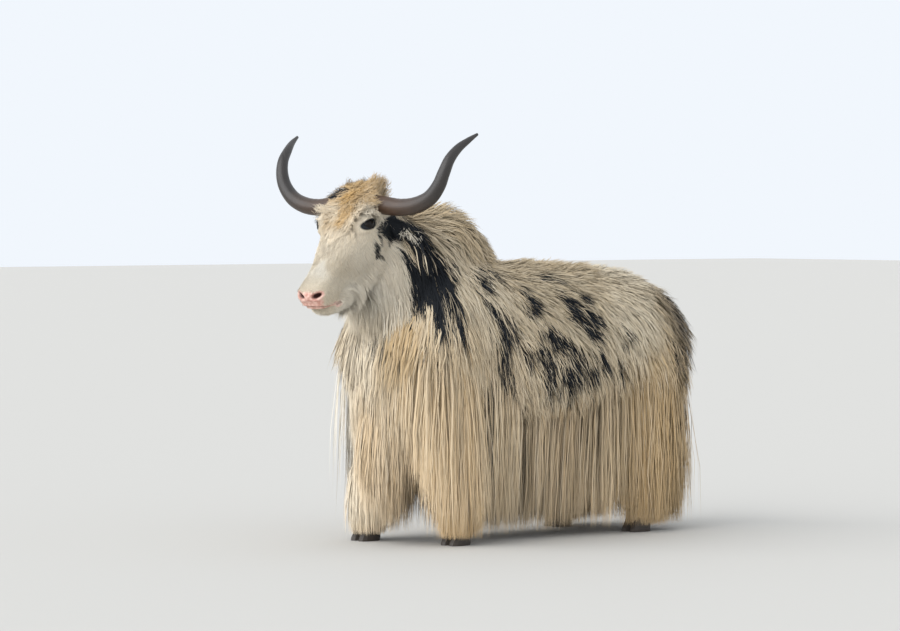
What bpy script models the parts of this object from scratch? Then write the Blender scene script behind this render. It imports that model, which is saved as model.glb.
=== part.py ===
"""A life-size standing yak with long, spreading horns and a coat that hangs almost to the ground.

Metres, +Z up, the yak faces +X and its left side is +Y. It stands on the floor at z = 0.
The flesh is modelled whole, parted into its named pieces by thin cuts, and each piece
then grows its locks of hair, which stay inside the piece's own space.
"""

import math
import random

import bmesh
import bpy
from mathutils import Matrix, Vector
from mathutils.bvhtree import BVHTree

# Clearances
GAP = 0.0003  # kept between pieces that touch
FLESH_VOXEL = 0.017
FLESH_FACES = 1900
HEAD_VOXEL = 0.008
HEAD_FACES = 1200
HEAD_SHARE = 0.75  # of the triangles of the dressed head that are kept
LOCK_SHARE = 0.70  # of the triangles of a dressed piece that are kept

# The body, along its midline
RUMP_X = -0.87
CHEST_X = 0.63
WITHERS_X = 0.27
BACK_Z = 1.08
HUMP_Z = 1.305
BELLY_Z = 0.47
RIB_HALF_WIDTH = 0.315

# The feet, on the floor
FOOT_SPREAD = 0.19
LEFT_FORE_X = 0.32
RIGHT_FORE_X = 0.47
LEFT_HIND_X = -0.63
RIGHT_HIND_X = -0.54
HOOF_HEIGHT = 0.062

# The head, which is held high and turned a little to the yak's left
POLL = Vector((0.71, 0.05, 1.32))
HEAD_TURN = math.radians(15)
FACE_SLOPE = math.radians(47)
HEAD_LENGTH = 0.475
EYE_RADIUS = 0.025
EYE_ALONG = 0.125
EYE_ACROSS = 0.095
EYE_UP = 0.026

# Where the whole is cut into its pieces
HEAD_CUT = Vector((0.655, 0.035, 1.2))
NECK_CUT = Vector((0.50, 0.0, 1.03))
NECK_CUT_NORMAL = Vector((0.80, 0.0, 0.60))
HUMP_CUT_Z = 1.13
SHOULDER_CUT_X = 0.08
RUMP_CUT_X = -0.45
LEG_TOP_FORE = 0.80
LEG_TOP_HIND = 0.74
LEG_INSIDE_Y = 0.10
TAIL_CUT_X = -0.875
HEAD_FLOOR_Z = 0.80

# Where the whole stands, so that the middle of its outline is at the origin
STAND = Vector((0.018, -0.016, 0.0))

UP = Vector((0, 0, 1))
FORWARD = Vector((1, 0, 0))
LEFT = Vector((0, 1, 0))
HEAD_FACING = Vector((math.cos(HEAD_TURN), math.sin(HEAD_TURN), 0))
HEAD_ALONG = HEAD_FACING * math.cos(FACE_SLOPE) - UP * math.sin(FACE_SLOPE)
HEAD_ACROSS = UP.cross(HEAD_FACING)
HEAD_UP = HEAD_ALONG.cross(HEAD_ACROSS)


def clear_scene():
    for obj in list(bpy.data.objects):
        bpy.data.objects.remove(obj)


def new_collection(name):
    collection = bpy.data.collections.new(name)
    bpy.context.scene.collection.children.link(collection)
    return collection


def new_material(name, colour, roughness, metallic=0.0):
    material = bpy.data.materials.new(name)
    material.use_nodes = True
    shader = material.node_tree.nodes["Principled BSDF"]
    shader.inputs["Base Color"].default_value = (*colour, 1.0)
    shader.inputs["Roughness"].default_value = roughness
    shader.inputs["Metallic"].default_value = metallic
    return material


def add_object(name, mesh, collection):
    obj = bpy.data.objects.new(name, mesh)
    collection.objects.link(obj)
    return obj


def on_head(along, across, up):
    """A point given in the head's own directions, from the poll."""
    return POLL + HEAD_ALONG * along + HEAD_ACROSS * across + HEAD_UP * up


def oval(centre, across, up, half_width, rise, drop, sides, power=1.0):
    """Points round an oval section, which rises above its centre and drops below it."""
    points = []
    for i in range(sides):
        angle = 2 * math.pi * i / sides
        c, s = math.cos(angle), math.sin(angle)
        sideways = half_width * math.copysign(abs(c) ** power, c)
        upward = (rise if s > 0 else drop) * math.copysign(abs(s) ** power, s)
        points.append(centre + across * sideways + up * upward)
    return points


def loft(name, rings, collection):
    """A closed skin over rings of equally many points."""
    bm = bmesh.new()
    loops = [[bm.verts.new(point) for point in ring] for ring in rings]
    for low, high in zip(loops, loops[1:]):
        for i in range(len(low)):
            j = (i + 1) % len(low)
            bm.faces.new((low[i], low[j], high[j], high[i]))
    bm.faces.new(reversed(loops[0]))
    bm.faces.new(loops[-1])
    bmesh.ops.recalc_face_normals(bm, faces=bm.faces)
    mesh = bpy.data.meshes.new(name)
    bm.to_mesh(mesh)
    bm.free()
    return add_object(name, mesh, collection)


def bake(obj):
    """Applies an object's modifiers."""
    bpy.context.view_layer.update()
    graph = bpy.context.evaluated_depsgraph_get()
    mesh = bpy.data.meshes.new_from_object(obj.evaluated_get(graph))
    obj.modifiers.clear()
    obj.data = mesh
    return obj


def boolean(obj, other, operation, solver="MANIFOLD"):
    """Joins, cuts or crosses obj with an object or with every object of a collection."""
    modifier = obj.modifiers.new(operation.lower(), "BOOLEAN")
    modifier.operation = operation
    modifier.solver = solver
    if isinstance(other, bpy.types.Collection):
        modifier.operand_type = "COLLECTION"
        modifier.collection = other
    else:
        modifier.object = other
    return bake(obj)


def remove(obj):
    bpy.data.objects.remove(obj)


def limb(name, stations, across, sides, collection):
    """A tube along (point, half width, half depth) stations, with sections square to its run."""
    points = [Vector(station[0]) for station in stations]
    rings = []
    for i, (_, half_width, half_depth) in enumerate(stations):
        before = points[max(i - 1, 0)]
        after = points[min(i + 1, len(points) - 1)]
        run = (after - before).normalized()
        deep = run.cross(across).normalized()
        side = deep.cross(run)
        rings.append(oval(points[i], side, deep, half_width, half_depth, half_depth, sides))
    return loft(name, rings, collection)


def ball(name, centre, radii, collection, turn=None, sides=12, tiers=7):
    """An ellipsoid of flesh."""
    bm = bmesh.new()
    bmesh.ops.create_uvsphere(bm, u_segments=sides, v_segments=tiers, radius=1)
    bmesh.ops.scale(bm, vec=radii, verts=bm.verts)
    matrix = Matrix.Translation(centre) @ (turn.to_4x4() if turn else Matrix())
    bmesh.ops.transform(bm, matrix=matrix, verts=bm.verts)
    mesh = bpy.data.meshes.new(name)
    bm.to_mesh(mesh)
    bm.free()
    return add_object(name, mesh, collection)


def space(name, planes, collection, reach=4.0):
    """The convex space on the inner side of (point, outward normal) planes, as a cutter."""
    bm = bmesh.new()
    bmesh.ops.create_cube(bm, size=reach)
    bmesh.ops.translate(bm, vec=(0, 0, reach / 4), verts=bm.verts)
    for point, outward in planes:
        cut = bmesh.ops.bisect_plane(
            bm,
            geom=bm.verts[:] + bm.edges[:] + bm.faces[:],
            plane_co=point,
            plane_no=outward,
            clear_outer=True,
        )
        rim = [item for item in cut["geom_cut"] if isinstance(item, bmesh.types.BMEdge)]
        bmesh.ops.edgenet_fill(bm, edges=rim)
    bmesh.ops.recalc_face_normals(bm, faces=bm.faces)
    mesh = bpy.data.meshes.new(name)
    bm.to_mesh(mesh)
    bm.free()
    cutter = add_object(name, mesh, collection)
    cutter.hide_render = True
    cutter.display_type = "WIRE"
    return cutter


def drop_flaps(bm):
    """Deletes pairs of triangles that lie back to back on the same three corners."""
    first_on, doomed = {}, []
    for face in bm.faces:
        corners = frozenset(face.verts)
        if corners in first_on:
            doomed += [face, first_on[corners]]
        else:
            first_on[corners] = face
    bmesh.ops.delete(bm, geom=doomed, context="FACES")


def largest_body(obj, reach=0.0):
    """Keeps the largest closed surface of a mesh, which drops scraps and sealed hollows.

    Corners nearer to each other than reach are merged first.
    """
    bm = bmesh.new()
    bm.from_mesh(obj.data)
    if reach:
        bmesh.ops.remove_doubles(bm, verts=bm.verts, dist=reach)
    bmesh.ops.triangulate(bm, faces=bm.faces)
    drop_flaps(bm)
    unseen = set(bm.faces)
    bodies = []
    while unseen:
        start = unseen.pop()
        body, edge_of = {start}, [start]
        while edge_of:
            for edge in edge_of.pop().edges:
                for face in edge.link_faces:
                    if face in unseen:
                        unseen.discard(face)
                        body.add(face)
                        edge_of.append(face)
        volume = 0.0
        for face in body:
            a, b, c = (vert.co for vert in face.verts)
            volume += a.dot(b.cross(c)) / 6
        bodies.append((volume, body))
    bodies.sort(key=lambda item: item[0], reverse=True)
    for _, body in bodies[1:]:
        bmesh.ops.delete(bm, geom=list(body), context="FACES")
    loose = [vert for vert in bm.verts if not vert.link_faces]
    bmesh.ops.delete(bm, geom=loose, context="VERTS")
    bm.to_mesh(obj.data)
    bm.free()
    return obj


def torso(collection):
    """The trunk: (x, top, bottom, half width, height of the widest part)."""
    stations = [
        (RUMP_X - 0.015, 0.86, 0.70, 0.09, 0.79),
        (RUMP_X + 0.03, 0.93, 0.63, 0.185, 0.79),
        (RUMP_X + 0.13, 1.00, 0.56, 0.248, 0.79),
        (RUMP_X + 0.27, BACK_Z - 0.035, 0.51, 0.275, 0.78),
        (-0.40, BACK_Z - 0.015, BELLY_Z + 0.02, 0.295, 0.75),
        (-0.12, BACK_Z, BELLY_Z, RIB_HALF_WIDTH, 0.72),
        (0.10, BACK_Z + 0.01, BELLY_Z + 0.01, 0.305, 0.74),
        (WITHERS_X, BACK_Z + 0.04, BELLY_Z + 0.03, 0.275, 0.78),
        (0.44, BACK_Z + 0.02, 0.52, 0.235, 0.80),
        (CHEST_X - 0.07, 1.02, 0.58, 0.18, 0.80),
        (CHEST_X, 0.90, 0.68, 0.09, 0.79),
    ]
    rings = []
    for x, top, bottom, half_width, middle in stations:
        centre = Vector((x, 0, middle))
        rings.append(oval(centre, LEFT, UP, half_width, top - middle, middle - bottom, 24, 0.9))
    return loft("trunk", rings, collection)


def hump(collection):
    """The high withers, which rise steeply off the back and run on into the neck."""
    stations = [
        (0.03, 1.07, 0.06, 0.10),
        (0.10, 1.17, 0.10, 0.16),
        (0.18, HUMP_Z - 0.04, 0.125, 0.24),
        (WITHERS_X + 0.02, HUMP_Z, 0.135, 0.30),
        (0.42, HUMP_Z - 0.01, 0.135, 0.30),
        (0.52, HUMP_Z - 0.02, 0.13, 0.28),
        (0.60, HUMP_Z - 0.02, 0.10, 0.22),
    ]
    rings = []
    for x, top, half_width, height in stations:
        centre = Vector((x, 0.02 * max(0, x - 0.3), top - height / 2))
        rings.append(oval(centre, LEFT, UP, half_width, height / 2, height / 2, 20))
    return loft("withers", rings, collection)


def neck(collection):
    """The deep neck, from between the shoulders to the back of the head."""
    return limb(
        "neck",
        [
            ((0.30, 0.00, 0.92), 0.20, 0.24),
            ((0.41, 0.005, 0.99), 0.19, 0.245),
            ((0.50, 0.015, 1.06), 0.165, 0.215),
            ((0.58, 0.03, 1.14), 0.140, 0.170),
            ((0.64, 0.040, 1.20), 0.118, 0.130),
            ((0.71, 0.050, 1.23), 0.100, 0.100),
        ],
        LEFT,
        20,
        collection,
    )


def foreleg(name, foot_x, side, collection):
    """Shoulder, forearm, knee, cannon and pastern, down to the top of the hoof."""
    y = side * FOOT_SPREAD
    return limb(
        name,
        [
            ((0.40, side * 0.15, 0.98), 0.10, 0.13),
            ((0.43, side * 0.19, 0.84), 0.10, 0.14),
            ((0.36 + 0.15 * (foot_x - 0.3), side * 0.20, 0.68), 0.09, 0.12),
            ((0.33 + 0.4 * (foot_x - 0.3), y, 0.54), 0.068, 0.085),
            ((0.32 + 0.8 * (foot_x - 0.3), y, 0.38), 0.052, 0.060),
            ((foot_x + 0.01, y, 0.30), 0.048, 0.052),
            ((foot_x, y, 0.20), 0.036, 0.040),
            ((foot_x + 0.005, y, 0.12), 0.044, 0.050),
            ((foot_x + 0.03, y, 0.045), 0.044, 0.050),
        ],
        LEFT,
        16,
        collection,
    )


def hindleg(name, foot_x, side, collection):
    """Thigh, gaskin, hock, cannon and pastern, down to the top of the hoof."""
    y = side * FOOT_SPREAD
    return limb(
        name,
        [
            ((-0.62, side * 0.12, 0.90), 0.11, 0.18),
            ((-0.64, side * 0.160, 0.80), 0.12, 0.20),
            ((-0.65, side * 0.18, 0.68), 0.105, 0.17),
            ((-0.68 + 0.3 * (foot_x + 0.63), y, 0.54), 0.075, 0.115),
            ((-0.72 + 0.8 * (foot_x + 0.63), y, 0.42), 0.050, 0.070),
            ((foot_x - 0.08, y, 0.36), 0.045, 0.058),
            ((foot_x - 0.045, y, 0.24), 0.037, 0.042),
            ((foot_x - 0.02, y, 0.13), 0.044, 0.050),
            ((foot_x + 0.015, y, 0.045), 0.044, 0.050),
        ],
        LEFT,
        16,
        collection,
    )


def dock(collection):
    """The fleshy root of the tail."""
    return limb(
        "dock",
        [
            ((-0.76, 0, 0.93), 0.055, 0.05),
            ((-0.85, 0, 0.90), 0.048, 0.045),
            ((-0.90, 0, 0.83), 0.042, 0.040),
            ((-0.92, 0, 0.73), 0.036, 0.034),
            ((-0.922, 0, 0.60), 0.028, 0.026),
            ((-0.918, 0, 0.47), 0.018, 0.018),
        ],
        LEFT,
        12,
        collection,
    )


def flesh(collection):
    """The whole body under its coat, as one smooth closed mesh."""
    pieces = [
        torso(collection),
        hump(collection),
        neck(collection),
        foreleg("left_foreleg", LEFT_FORE_X, 1, collection),
        foreleg("right_foreleg", RIGHT_FORE_X, -1, collection),
        hindleg("left_hindleg", LEFT_HIND_X, 1, collection),
        hindleg("right_hindleg", RIGHT_HIND_X, -1, collection),
        dock(collection),
        ball("brisket", Vector((0.50, 0, 0.56)), (0.14, 0.10, 0.14), collection),
    ]
    return blended("flesh", pieces, FLESH_VOXEL, FLESH_FACES, collection)


def blended(name, pieces, voxel, faces, collection):
    """One smooth closed skin over overlapping pieces, which it replaces."""
    bm = bmesh.new()
    for piece in pieces:
        bm.from_mesh(piece.data)
        remove(piece)
    mesh = bpy.data.meshes.new(name)
    bm.to_mesh(mesh)
    bm.free()
    obj = add_object(name, mesh, collection)
    remesh = obj.modifiers.new("one_skin", "REMESH")
    remesh.mode = "VOXEL"
    remesh.voxel_size = voxel
    relax = obj.modifiers.new("relax", "SMOOTH")
    relax.factor = 0.5
    relax.iterations = 8
    bake(obj)
    return thin_out(obj, faces / (2 * len(obj.data.polygons)))


def thin_out(obj, share):
    """Collapses the smallest edges to a share of the triangles, as far as the mesh stays closed."""
    raw = obj.data
    for reach in (0.0, 0.0003, 0.0006, 0.001):
        obj.data = raw.copy()
        whole = largest_body(obj, reach).data
        if is_closed(whole):
            break
    while share < 1:
        obj.data = whole
        modifier = obj.modifiers.new("thin", "DECIMATE")
        modifier.ratio = share
        bake(obj)
        if is_closed(obj.data):
            return obj
        share += 0.02
    obj.data = whole
    return obj


def is_closed(mesh):
    """True where every edge has two faces."""
    bm = bmesh.new()
    bm.from_mesh(mesh)
    closed = all(edge.is_manifold for edge in bm.edges)
    bm.free()
    return closed


def skull(collection):
    """The head without its lower jaw: (along, height of the middle, half width, rise, drop)."""
    stations = [
        (-0.080, -0.050, 0.070, 0.045, 0.060),
        (-0.045, -0.035, 0.100, 0.070, 0.120),
        (0.000, -0.030, 0.118, 0.080, 0.150),
        (0.050, -0.030, 0.123, 0.083, 0.165),
        (0.100, -0.030, 0.122, 0.080, 0.165),
        (0.150, -0.030, 0.114, 0.075, 0.150),
        (0.210, -0.030, 0.095, 0.067, 0.120),
        (0.270, -0.030, 0.079, 0.060, 0.092),
        (0.330, -0.028, 0.069, 0.054, 0.074),
        (0.385, -0.025, 0.067, 0.052, 0.068),
        (0.425, -0.022, 0.070, 0.051, 0.066),
        (0.452, -0.021, 0.067, 0.045, 0.061),
        (HEAD_LENGTH - 0.005, -0.021, 0.054, 0.034, 0.048),
        (HEAD_LENGTH + 0.004, -0.022, 0.034, 0.020, 0.028),
    ]
    rings = []
    for along, middle, half_width, rise, drop in resampled(stations, 19):
        centre = on_head(along, 0, middle)
        rings.append(oval(centre, HEAD_ACROSS, HEAD_UP, half_width, rise, drop, 16, 0.85))
    return loft("skull", rings, collection)


def jaw(collection):
    """The lower jaw and chin, which sit a little back under the upper lip."""
    stations = [
        (0.02, -0.135, 0.060, 0.050, 0.045),
        (0.06, -0.155, 0.084, 0.060, 0.062),
        (0.12, -0.165, 0.088, 0.070, 0.060),
        (0.19, -0.152, 0.072, 0.060, 0.046),
        (0.27, -0.128, 0.056, 0.050, 0.036),
        (0.34, -0.110, 0.051, 0.038, 0.032),
        (0.400, -0.098, 0.051, 0.026, 0.030),
        (0.434, -0.089, 0.046, 0.020, 0.026),
        (0.456, -0.080, 0.028, 0.012, 0.016),
    ]
    rings = []
    for along, middle, half_width, rise, drop in resampled(stations, 11):
        centre = on_head(along, 0, middle)
        rings.append(oval(centre, HEAD_ACROSS, HEAD_UP, half_width, rise, drop, 12, 0.85))
    return loft("jaw", rings, collection)


def head_flesh(collection):
    """Skull, jaw, cheeks, brows, lips and the mat of hair on the poll, as one smooth form."""
    axes = Matrix((HEAD_ALONG, HEAD_ACROSS, HEAD_UP)).transposed()
    pieces = [
        skull(collection),
        jaw(collection),
        ball("mat", on_head(-0.005, 0, 0.042), (0.078, 0.108, 0.045), collection, axes),
    ]
    for side in (1, -1):
        for along, across, up, radii in (
            (EYE_ALONG - 0.015, 0.076, 0.024, (0.058, 0.040, 0.036)),
            (0.110, 0.066, -0.115, (0.090, 0.038, 0.080)),
            (0.425, 0.046, -0.036, (0.038, 0.030, 0.042)),
        ):
            pieces.append(ball("mass", on_head(along, side * across, up), radii, collection, axes))
    return blended("head_flesh", pieces, HEAD_VOXEL, HEAD_FACES, collection)


def eye_place(side):
    """The middle of an eyeball."""
    return on_head(EYE_ALONG, side * EYE_ACROSS, EYE_UP)


def eye_outward(side):
    """The way an eye looks: out to its side, and a little forward and up."""
    return (HEAD_ACROSS * side * 0.90 + HEAD_ALONG * 0.18 + HEAD_UP * 0.38).normalized()


def lid(name, side, above, collection):
    """One eyelid: a rim that arches over or under the eyeball."""
    outward = eye_outward(side)
    forward = (HEAD_ALONG - outward * HEAD_ALONG.dot(outward)).normalized()
    arch = outward.cross(forward) * side * (1 if above else -1)
    stations = []
    count = 7
    for i in range(count):
        turn = math.pi * i / (count - 1)
        lean = math.sin(turn)
        point = (
            eye_place(side)
            - forward * math.cos(turn) * 1.12 * EYE_RADIUS
            + arch * lean * 0.66 * EYE_RADIUS
            + outward * (0.34 + 0.42 * lean) * EYE_RADIUS
        )
        stations.append((point, 0.0055 + 0.0015 * lean, 0.0045 + 0.002 * lean))
    return limb(name, stations, outward, 6, collection)


def horn_stations(side, count, grow=0.0):
    """Points and radii along a horn: out from the head, up, then back at the tip.

    Each row is sideways from the middle of the head, forward and up from the poll, and radius.
    """
    rows = [
        (0.080, 0.012, 0.012, 0.036),
        (0.140, 0.004, 0.003, 0.035),
        (0.200, 0.000, -0.002, 0.033),
        (0.267, -0.002, 0.006, 0.0320),
        (0.328, -0.005, 0.032, 0.0298),
        (0.370, -0.006, 0.078, 0.0270),
        (0.391, -0.012, 0.129, 0.0242),
        (0.403, -0.033, 0.180, 0.0210),
        (0.413, -0.075, 0.222, 0.0170),
        (0.427, -0.120, 0.252, 0.0118),
        (0.437, -0.167, 0.277, 0.0055),
    ]
    stations = []
    for across, forward, up, radius in resampled(rows, count):
        if not stations:
            across -= 2 * grow
        point = POLL + HEAD_ACROSS * side * across + HEAD_FACING * forward + UP * up
        stations.append((point, radius + grow, radius + grow))
    return stations


def resampled(rows, count):
    """Rows of numbers on a smooth curve through the given rows."""
    found = []
    for i in range(count):
        at = i * (len(rows) - 1) / (count - 1)
        k = min(int(at), len(rows) - 2)
        t = at - k
        p = [rows[min(max(k + j, 0), len(rows) - 1)] for j in (-1, 0, 1, 2)]
        found.append(
            tuple(
                0.5 * (2 * b + (c - a) * t + (2 * a - 5 * b + 4 * c - d) * t**2
                       + (3 * b - a - 3 * c + d) * t**3)
                for a, b, c, d in zip(*p)
            )
        )
    return found


def horn(name, side, collection, grow=0.0):
    return limb(name, horn_stations(side, 16, grow), HEAD_FACING, 10, collection)


def ear_stations(side, grow=0.0):
    """From inside the head behind the eye, out, back and a little down to the tip."""
    base = on_head(0.020, side * 0.085, -0.050)
    reach = (HEAD_ACROSS * side * 0.68 - HEAD_FACING * 0.46 - UP * 0.34).normalized()
    rows = [
        (0.000, 0.020, 0.020),
        (0.035, 0.021, 0.021),
        (0.060, 0.026, 0.020),
        (0.090, 0.034, 0.016),
        (0.125, 0.034, 0.012),
        (0.150, 0.026, 0.009),
        (0.168, 0.014, 0.006),
        (0.178, 0.004, 0.003),
    ]
    return [
        (
            base + reach * (along + math.copysign(2 * grow, along - 0.1)) - UP * 0.9 * along**2,
            broad + grow,
            thick + grow,
        )
        for along, broad, thick in rows
    ]


def ear_side():
    """The direction across the breadth of an ear."""
    return (UP * 0.75 + HEAD_FACING * 0.66).normalized()


def ear(name, side, collection):
    """A cupped ear, hollow towards the front and the outside."""
    blade = limb(name, ear_stations(side), ear_side(), 12, collection)
    stations = ear_stations(side)
    opening = (HEAD_FACING * 0.70 - UP * 0.10 + HEAD_ACROSS * side * 0.70).normalized()
    hollow = [
        (point + opening * (0.55 * thick + 0.003), 0.72 * broad, 0.75 * thick)
        for point, broad, thick in stations[2:7]
    ]
    scoop = limb("scoop", hollow, ear_side(), 8, collection)
    boolean(blade, scoop, "DIFFERENCE")
    remove(scoop)
    return largest_body(blade)


def nostril(name, side, collection):
    """The slanting opening beside the nose pad, as a cutter."""
    turn = (
        Matrix((HEAD_ALONG, HEAD_ACROSS, HEAD_UP)).transposed()
        @ Matrix.Rotation(side * math.radians(50), 3, "Z")
        @ Matrix.Rotation(side * math.radians(-30), 3, "X")
    )
    place = on_head(HEAD_LENGTH - 0.020, side * 0.052, 0.004)
    return ball(name, place, (0.020, 0.008, 0.016), collection, turn)


def mouth_line(surface, collection):
    """A thin tube along the lips, which cuts the line of the mouth."""
    rows = [
        (0.350, 0.075, -0.100),
        (0.385, 0.075, -0.092),
        (0.420, 0.070, -0.080),
        (0.448, 0.048, -0.070),
        (0.470, 0.000, -0.064),
    ]
    rows += [(along, -across, up) for along, across, up in reversed(rows[:-1])]
    stations = []
    for along, across, up in resampled(rows, 13):
        near = surface.find_nearest(on_head(along, across, up))[0]
        stations.append((near, 0.0035, 0.0035))
    return limb("mouth", stations, HEAD_UP, 5, collection)


def claw(name, foot_x, y, collection):
    """Half of a cloven hoof, flat on the floor."""
    rows = [
        (0.0, 0.052, 0.0225, 0.046),
        (0.012, 0.052, 0.0230, 0.046),
        (HOOF_HEIGHT - GAP / 2, 0.036, 0.0200, 0.036),
    ]
    rings = []
    for z, front, half_width, back in rows:
        centre = Vector((foot_x + 0.025 - 0.25 * z, y, z))
        rings.append(oval(centre, LEFT, FORWARD, half_width, front, back, 12, 0.8))
    return loft(name, rings, collection)


def swell(t):
    """The breadth of a lock along its length: full above the middle, fine at the tip."""
    return max(0.04, (0.72 + 1.0 * t) * (1 - t**2.4))


def lock(name, path, facing, width, thick, collection):
    """A flat, tapered lock of hair along a path, its broad side facing outwards."""
    rings = []
    last = len(path) - 1
    for i, point in enumerate(path):
        run = (path[min(i + 1, last)] - path[max(i - 1, 0)]).normalized()
        across = run.cross(facing).normalized()
        out = across.cross(run)
        t = i / last
        half = 0.5 * width * swell(t)
        depth = 0.5 * thick * (1 - 0.85 * t)
        rings.append([point + across * half, point + out * depth, point - across * half])
    return loft(name, rings, collection)


class Coat:
    """Grows the locks of one piece, rooted on the flesh and kept inside the piece's space."""

    def __init__(self, name, skin, planes, kept_out, seed):
        self.skin = skin
        self.planes = planes
        self.kept_out = kept_out
        self.draw = random.Random(seed)
        self.locks = new_collection(name + "_locks")

    def vary(self, share):
        return 1 + share * self.draw.uniform(-1, 1)

    def inside(self, point, margin):
        if any((point - on).dot(outward) > -margin for on, outward in self.planes):
            return False
        return not any(
            all((point - on).dot(outward) < margin for on, outward in planes)
            for planes in self.kept_out
        )

    def confine(self, point, margin):
        for on, outward in self.planes:
            over = (point - on).dot(outward) + margin
            if over > 0:
                point = point - outward * over
        for planes in self.kept_out:
            depths = [((point - on).dot(outward) - margin, outward) for on, outward in planes]
            if all(depth < 0 for depth, _ in depths):
                depth, outward = max(depths, key=lambda item: item[0])
                point = point - outward * depth
        return point

    def grow(self, source, aim, lie, length, width, droop, thick=0.022, lift=0.55,
             curl=0.0, steps=4, clear=0.012, margin=0.004):
        """One lock where a ray from source along aim meets the flesh."""
        hit, normal = self.skin.ray_cast(source, aim)[:2]
        if hit is None or not self.inside(hit, 0.012):
            return
        length *= self.vary(0.14)
        width *= self.vary(0.12)
        along_skin = (lie - normal * lie.dot(normal)).normalized()
        run = (along_skin + normal * lift + Vector([self.draw.uniform(-0.1, 0.1) for _ in range(3)]))
        run.normalize()
        point = hit - normal * 0.024 - along_skin * 0.012
        path = [point]
        point = hit + run * 0.006
        step = length / steps
        side = run.cross(normal)
        if side.length < 0.1:
            side = run.cross(UP)
        side.normalize()
        phase = self.draw.uniform(0, 2 * math.pi)
        for i in range(steps):
            run = (run * (1 - droop) + Vector((0, 0, -1)) * droop).normalized()
            point = point + run * step
            near, out = self.skin.find_nearest(point)[:2]
            deep = clear * (1 + 0.5 * (i + 1) / steps) - (point - near).dot(out)
            if deep > 0 and (point - near).length < 0.12:
                point = point + out * deep
            wave = side * curl * length * math.sin(phase + 2.4 * (i + 1))
            path.append(self.confine(point + wave, margin))
        facing = normal if abs(run.dot(normal)) < 0.8 else Vector((normal.x, normal.y, 0.2))
        name = f"lock_{len(self.locks.objects):03d}"
        lock(name, path, facing, width, thick * self.vary(0.15), self.locks)

    def sweep(self, count, first, last, aim, lie, length, width, droop, jitter=0.02, **how):
        """Locks rooted along a line of rays from first to last."""
        first, last = Vector(first), Vector(last)
        for i in range(count):
            t = i / max(1, count - 1)
            source = first.lerp(last, t)
            source = source + Vector([self.draw.uniform(-jitter, jitter) for _ in range(3)])
            self.grow(source, Vector(aim).normalized(), Vector(lie).normalized(),
                      length, width, droop, **how)

    def join(self, core):
        """Fuses the locks to their core."""
        if len(self.locks.objects):
            boolean(core, self.locks, "UNION")
        for obj in list(self.locks.objects):
            remove(obj)
        bpy.data.collections.remove(self.locks)
        return core


def facing_planes():
    """The planes that part the whole, as (point, normal)."""
    return {
        "head": (HEAD_CUT, HEAD_FACING),
        "neck": (NECK_CUT, NECK_CUT_NORMAL),
        "hump": (Vector((0, 0, HUMP_CUT_Z)), UP),
        "shoulder": (Vector((SHOULDER_CUT_X, 0, 0)), FORWARD),
        "rump": (Vector((RUMP_CUT_X, 0, 0)), FORWARD),
        "tail": (Vector((TAIL_CUT_X, 0, 0)), FORWARD),
        "fore_top": (Vector((0, 0, LEG_TOP_FORE)), UP),
        "hind_top": (Vector((0, 0, LEG_TOP_HIND)), UP),
        "left_inside": (Vector((0, LEG_INSIDE_Y, 0)), LEFT),
        "right_inside": (Vector((0, -LEG_INSIDE_Y, 0)), -LEFT),
        "hoof": (Vector((0, 0, HOOF_HEIGHT)), UP),
        "jaw_floor": (Vector((0, 0, HEAD_FLOOR_Z)), UP),
        "ground": (Vector((0, 0, 0.018)), UP),
    }


def bounds_of(name):
    """The half spaces of a piece, as (plane name, whether it lies on the normal's side)."""
    table = {
        "head": [("head", True), ("jaw_floor", True)],
        "neck": [("head", False), ("neck", True)],
        "hump": [("neck", False), ("hump", True)],
        "shoulders": [("neck", False), ("hump", False), ("shoulder", True), ("ground", True)],
        "barrel": [("hump", False), ("shoulder", False), ("rump", True), ("ground", True)],
        "rump": [("rump", False), ("ground", True)],
        "tail": [("tail", False), ("left_inside", False), ("right_inside", False),
                 ("ground", True)],
    }
    for side in ("left", "right"):
        table["foreleg_" + side] = [("neck", False), ("shoulder", True), ("fore_top", False),
                                    (side + "_inside", True), ("hoof", True)]
        table["hindleg_" + side] = [("rump", False), ("hind_top", False),
                                    (side + "_inside", True), ("hoof", True)]
    return table[name]


def planes_of(name, inset=GAP / 2):
    """A piece's planes as (point, outward normal), set in by half the gap."""
    planes = []
    for plane, beyond in bounds_of(name):
        point, normal = facing_planes()[plane]
        normal = normal.normalized()
        outward = -normal if beyond else normal
        planes.append((point - outward * inset, outward))
    return planes


NEIGHBOURS = {
    "shoulders": ["foreleg_left", "foreleg_right"],
    "rump": ["hindleg_left", "hindleg_right", "tail"],
}


def cut_to_space(obj, name, cutters):
    """Leaves of a mesh only what lies in its piece's own space."""
    own = space(name + "_space", planes_of(name), cutters)
    boolean(obj, own, "INTERSECT")
    remove(own)
    for other in NEIGHBOURS.get(name, []):
        taken = space(other + "_space", planes_of(other, -GAP / 2), cutters)
        boolean(obj, taken, "DIFFERENCE")
        remove(taken)
    return largest_body(obj)


def coat_of(name, skin, seed):
    kept_out = [planes_of(other, -GAP / 2) for other in NEIGHBOURS.get(name, [])]
    return Coat(name, skin, planes_of(name), kept_out, seed)


def side_rows(coat, side, rows, lie, **how):
    """Rows of locks down one side: (height, first x, last x, count, length, width, droop)."""
    for z, first, last, count, length, width, droop in rows:
        coat.sweep(count, (first, side, z), (last, side, z), (0, -side, 0), lie,
                   length, width, droop, **how)


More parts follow.
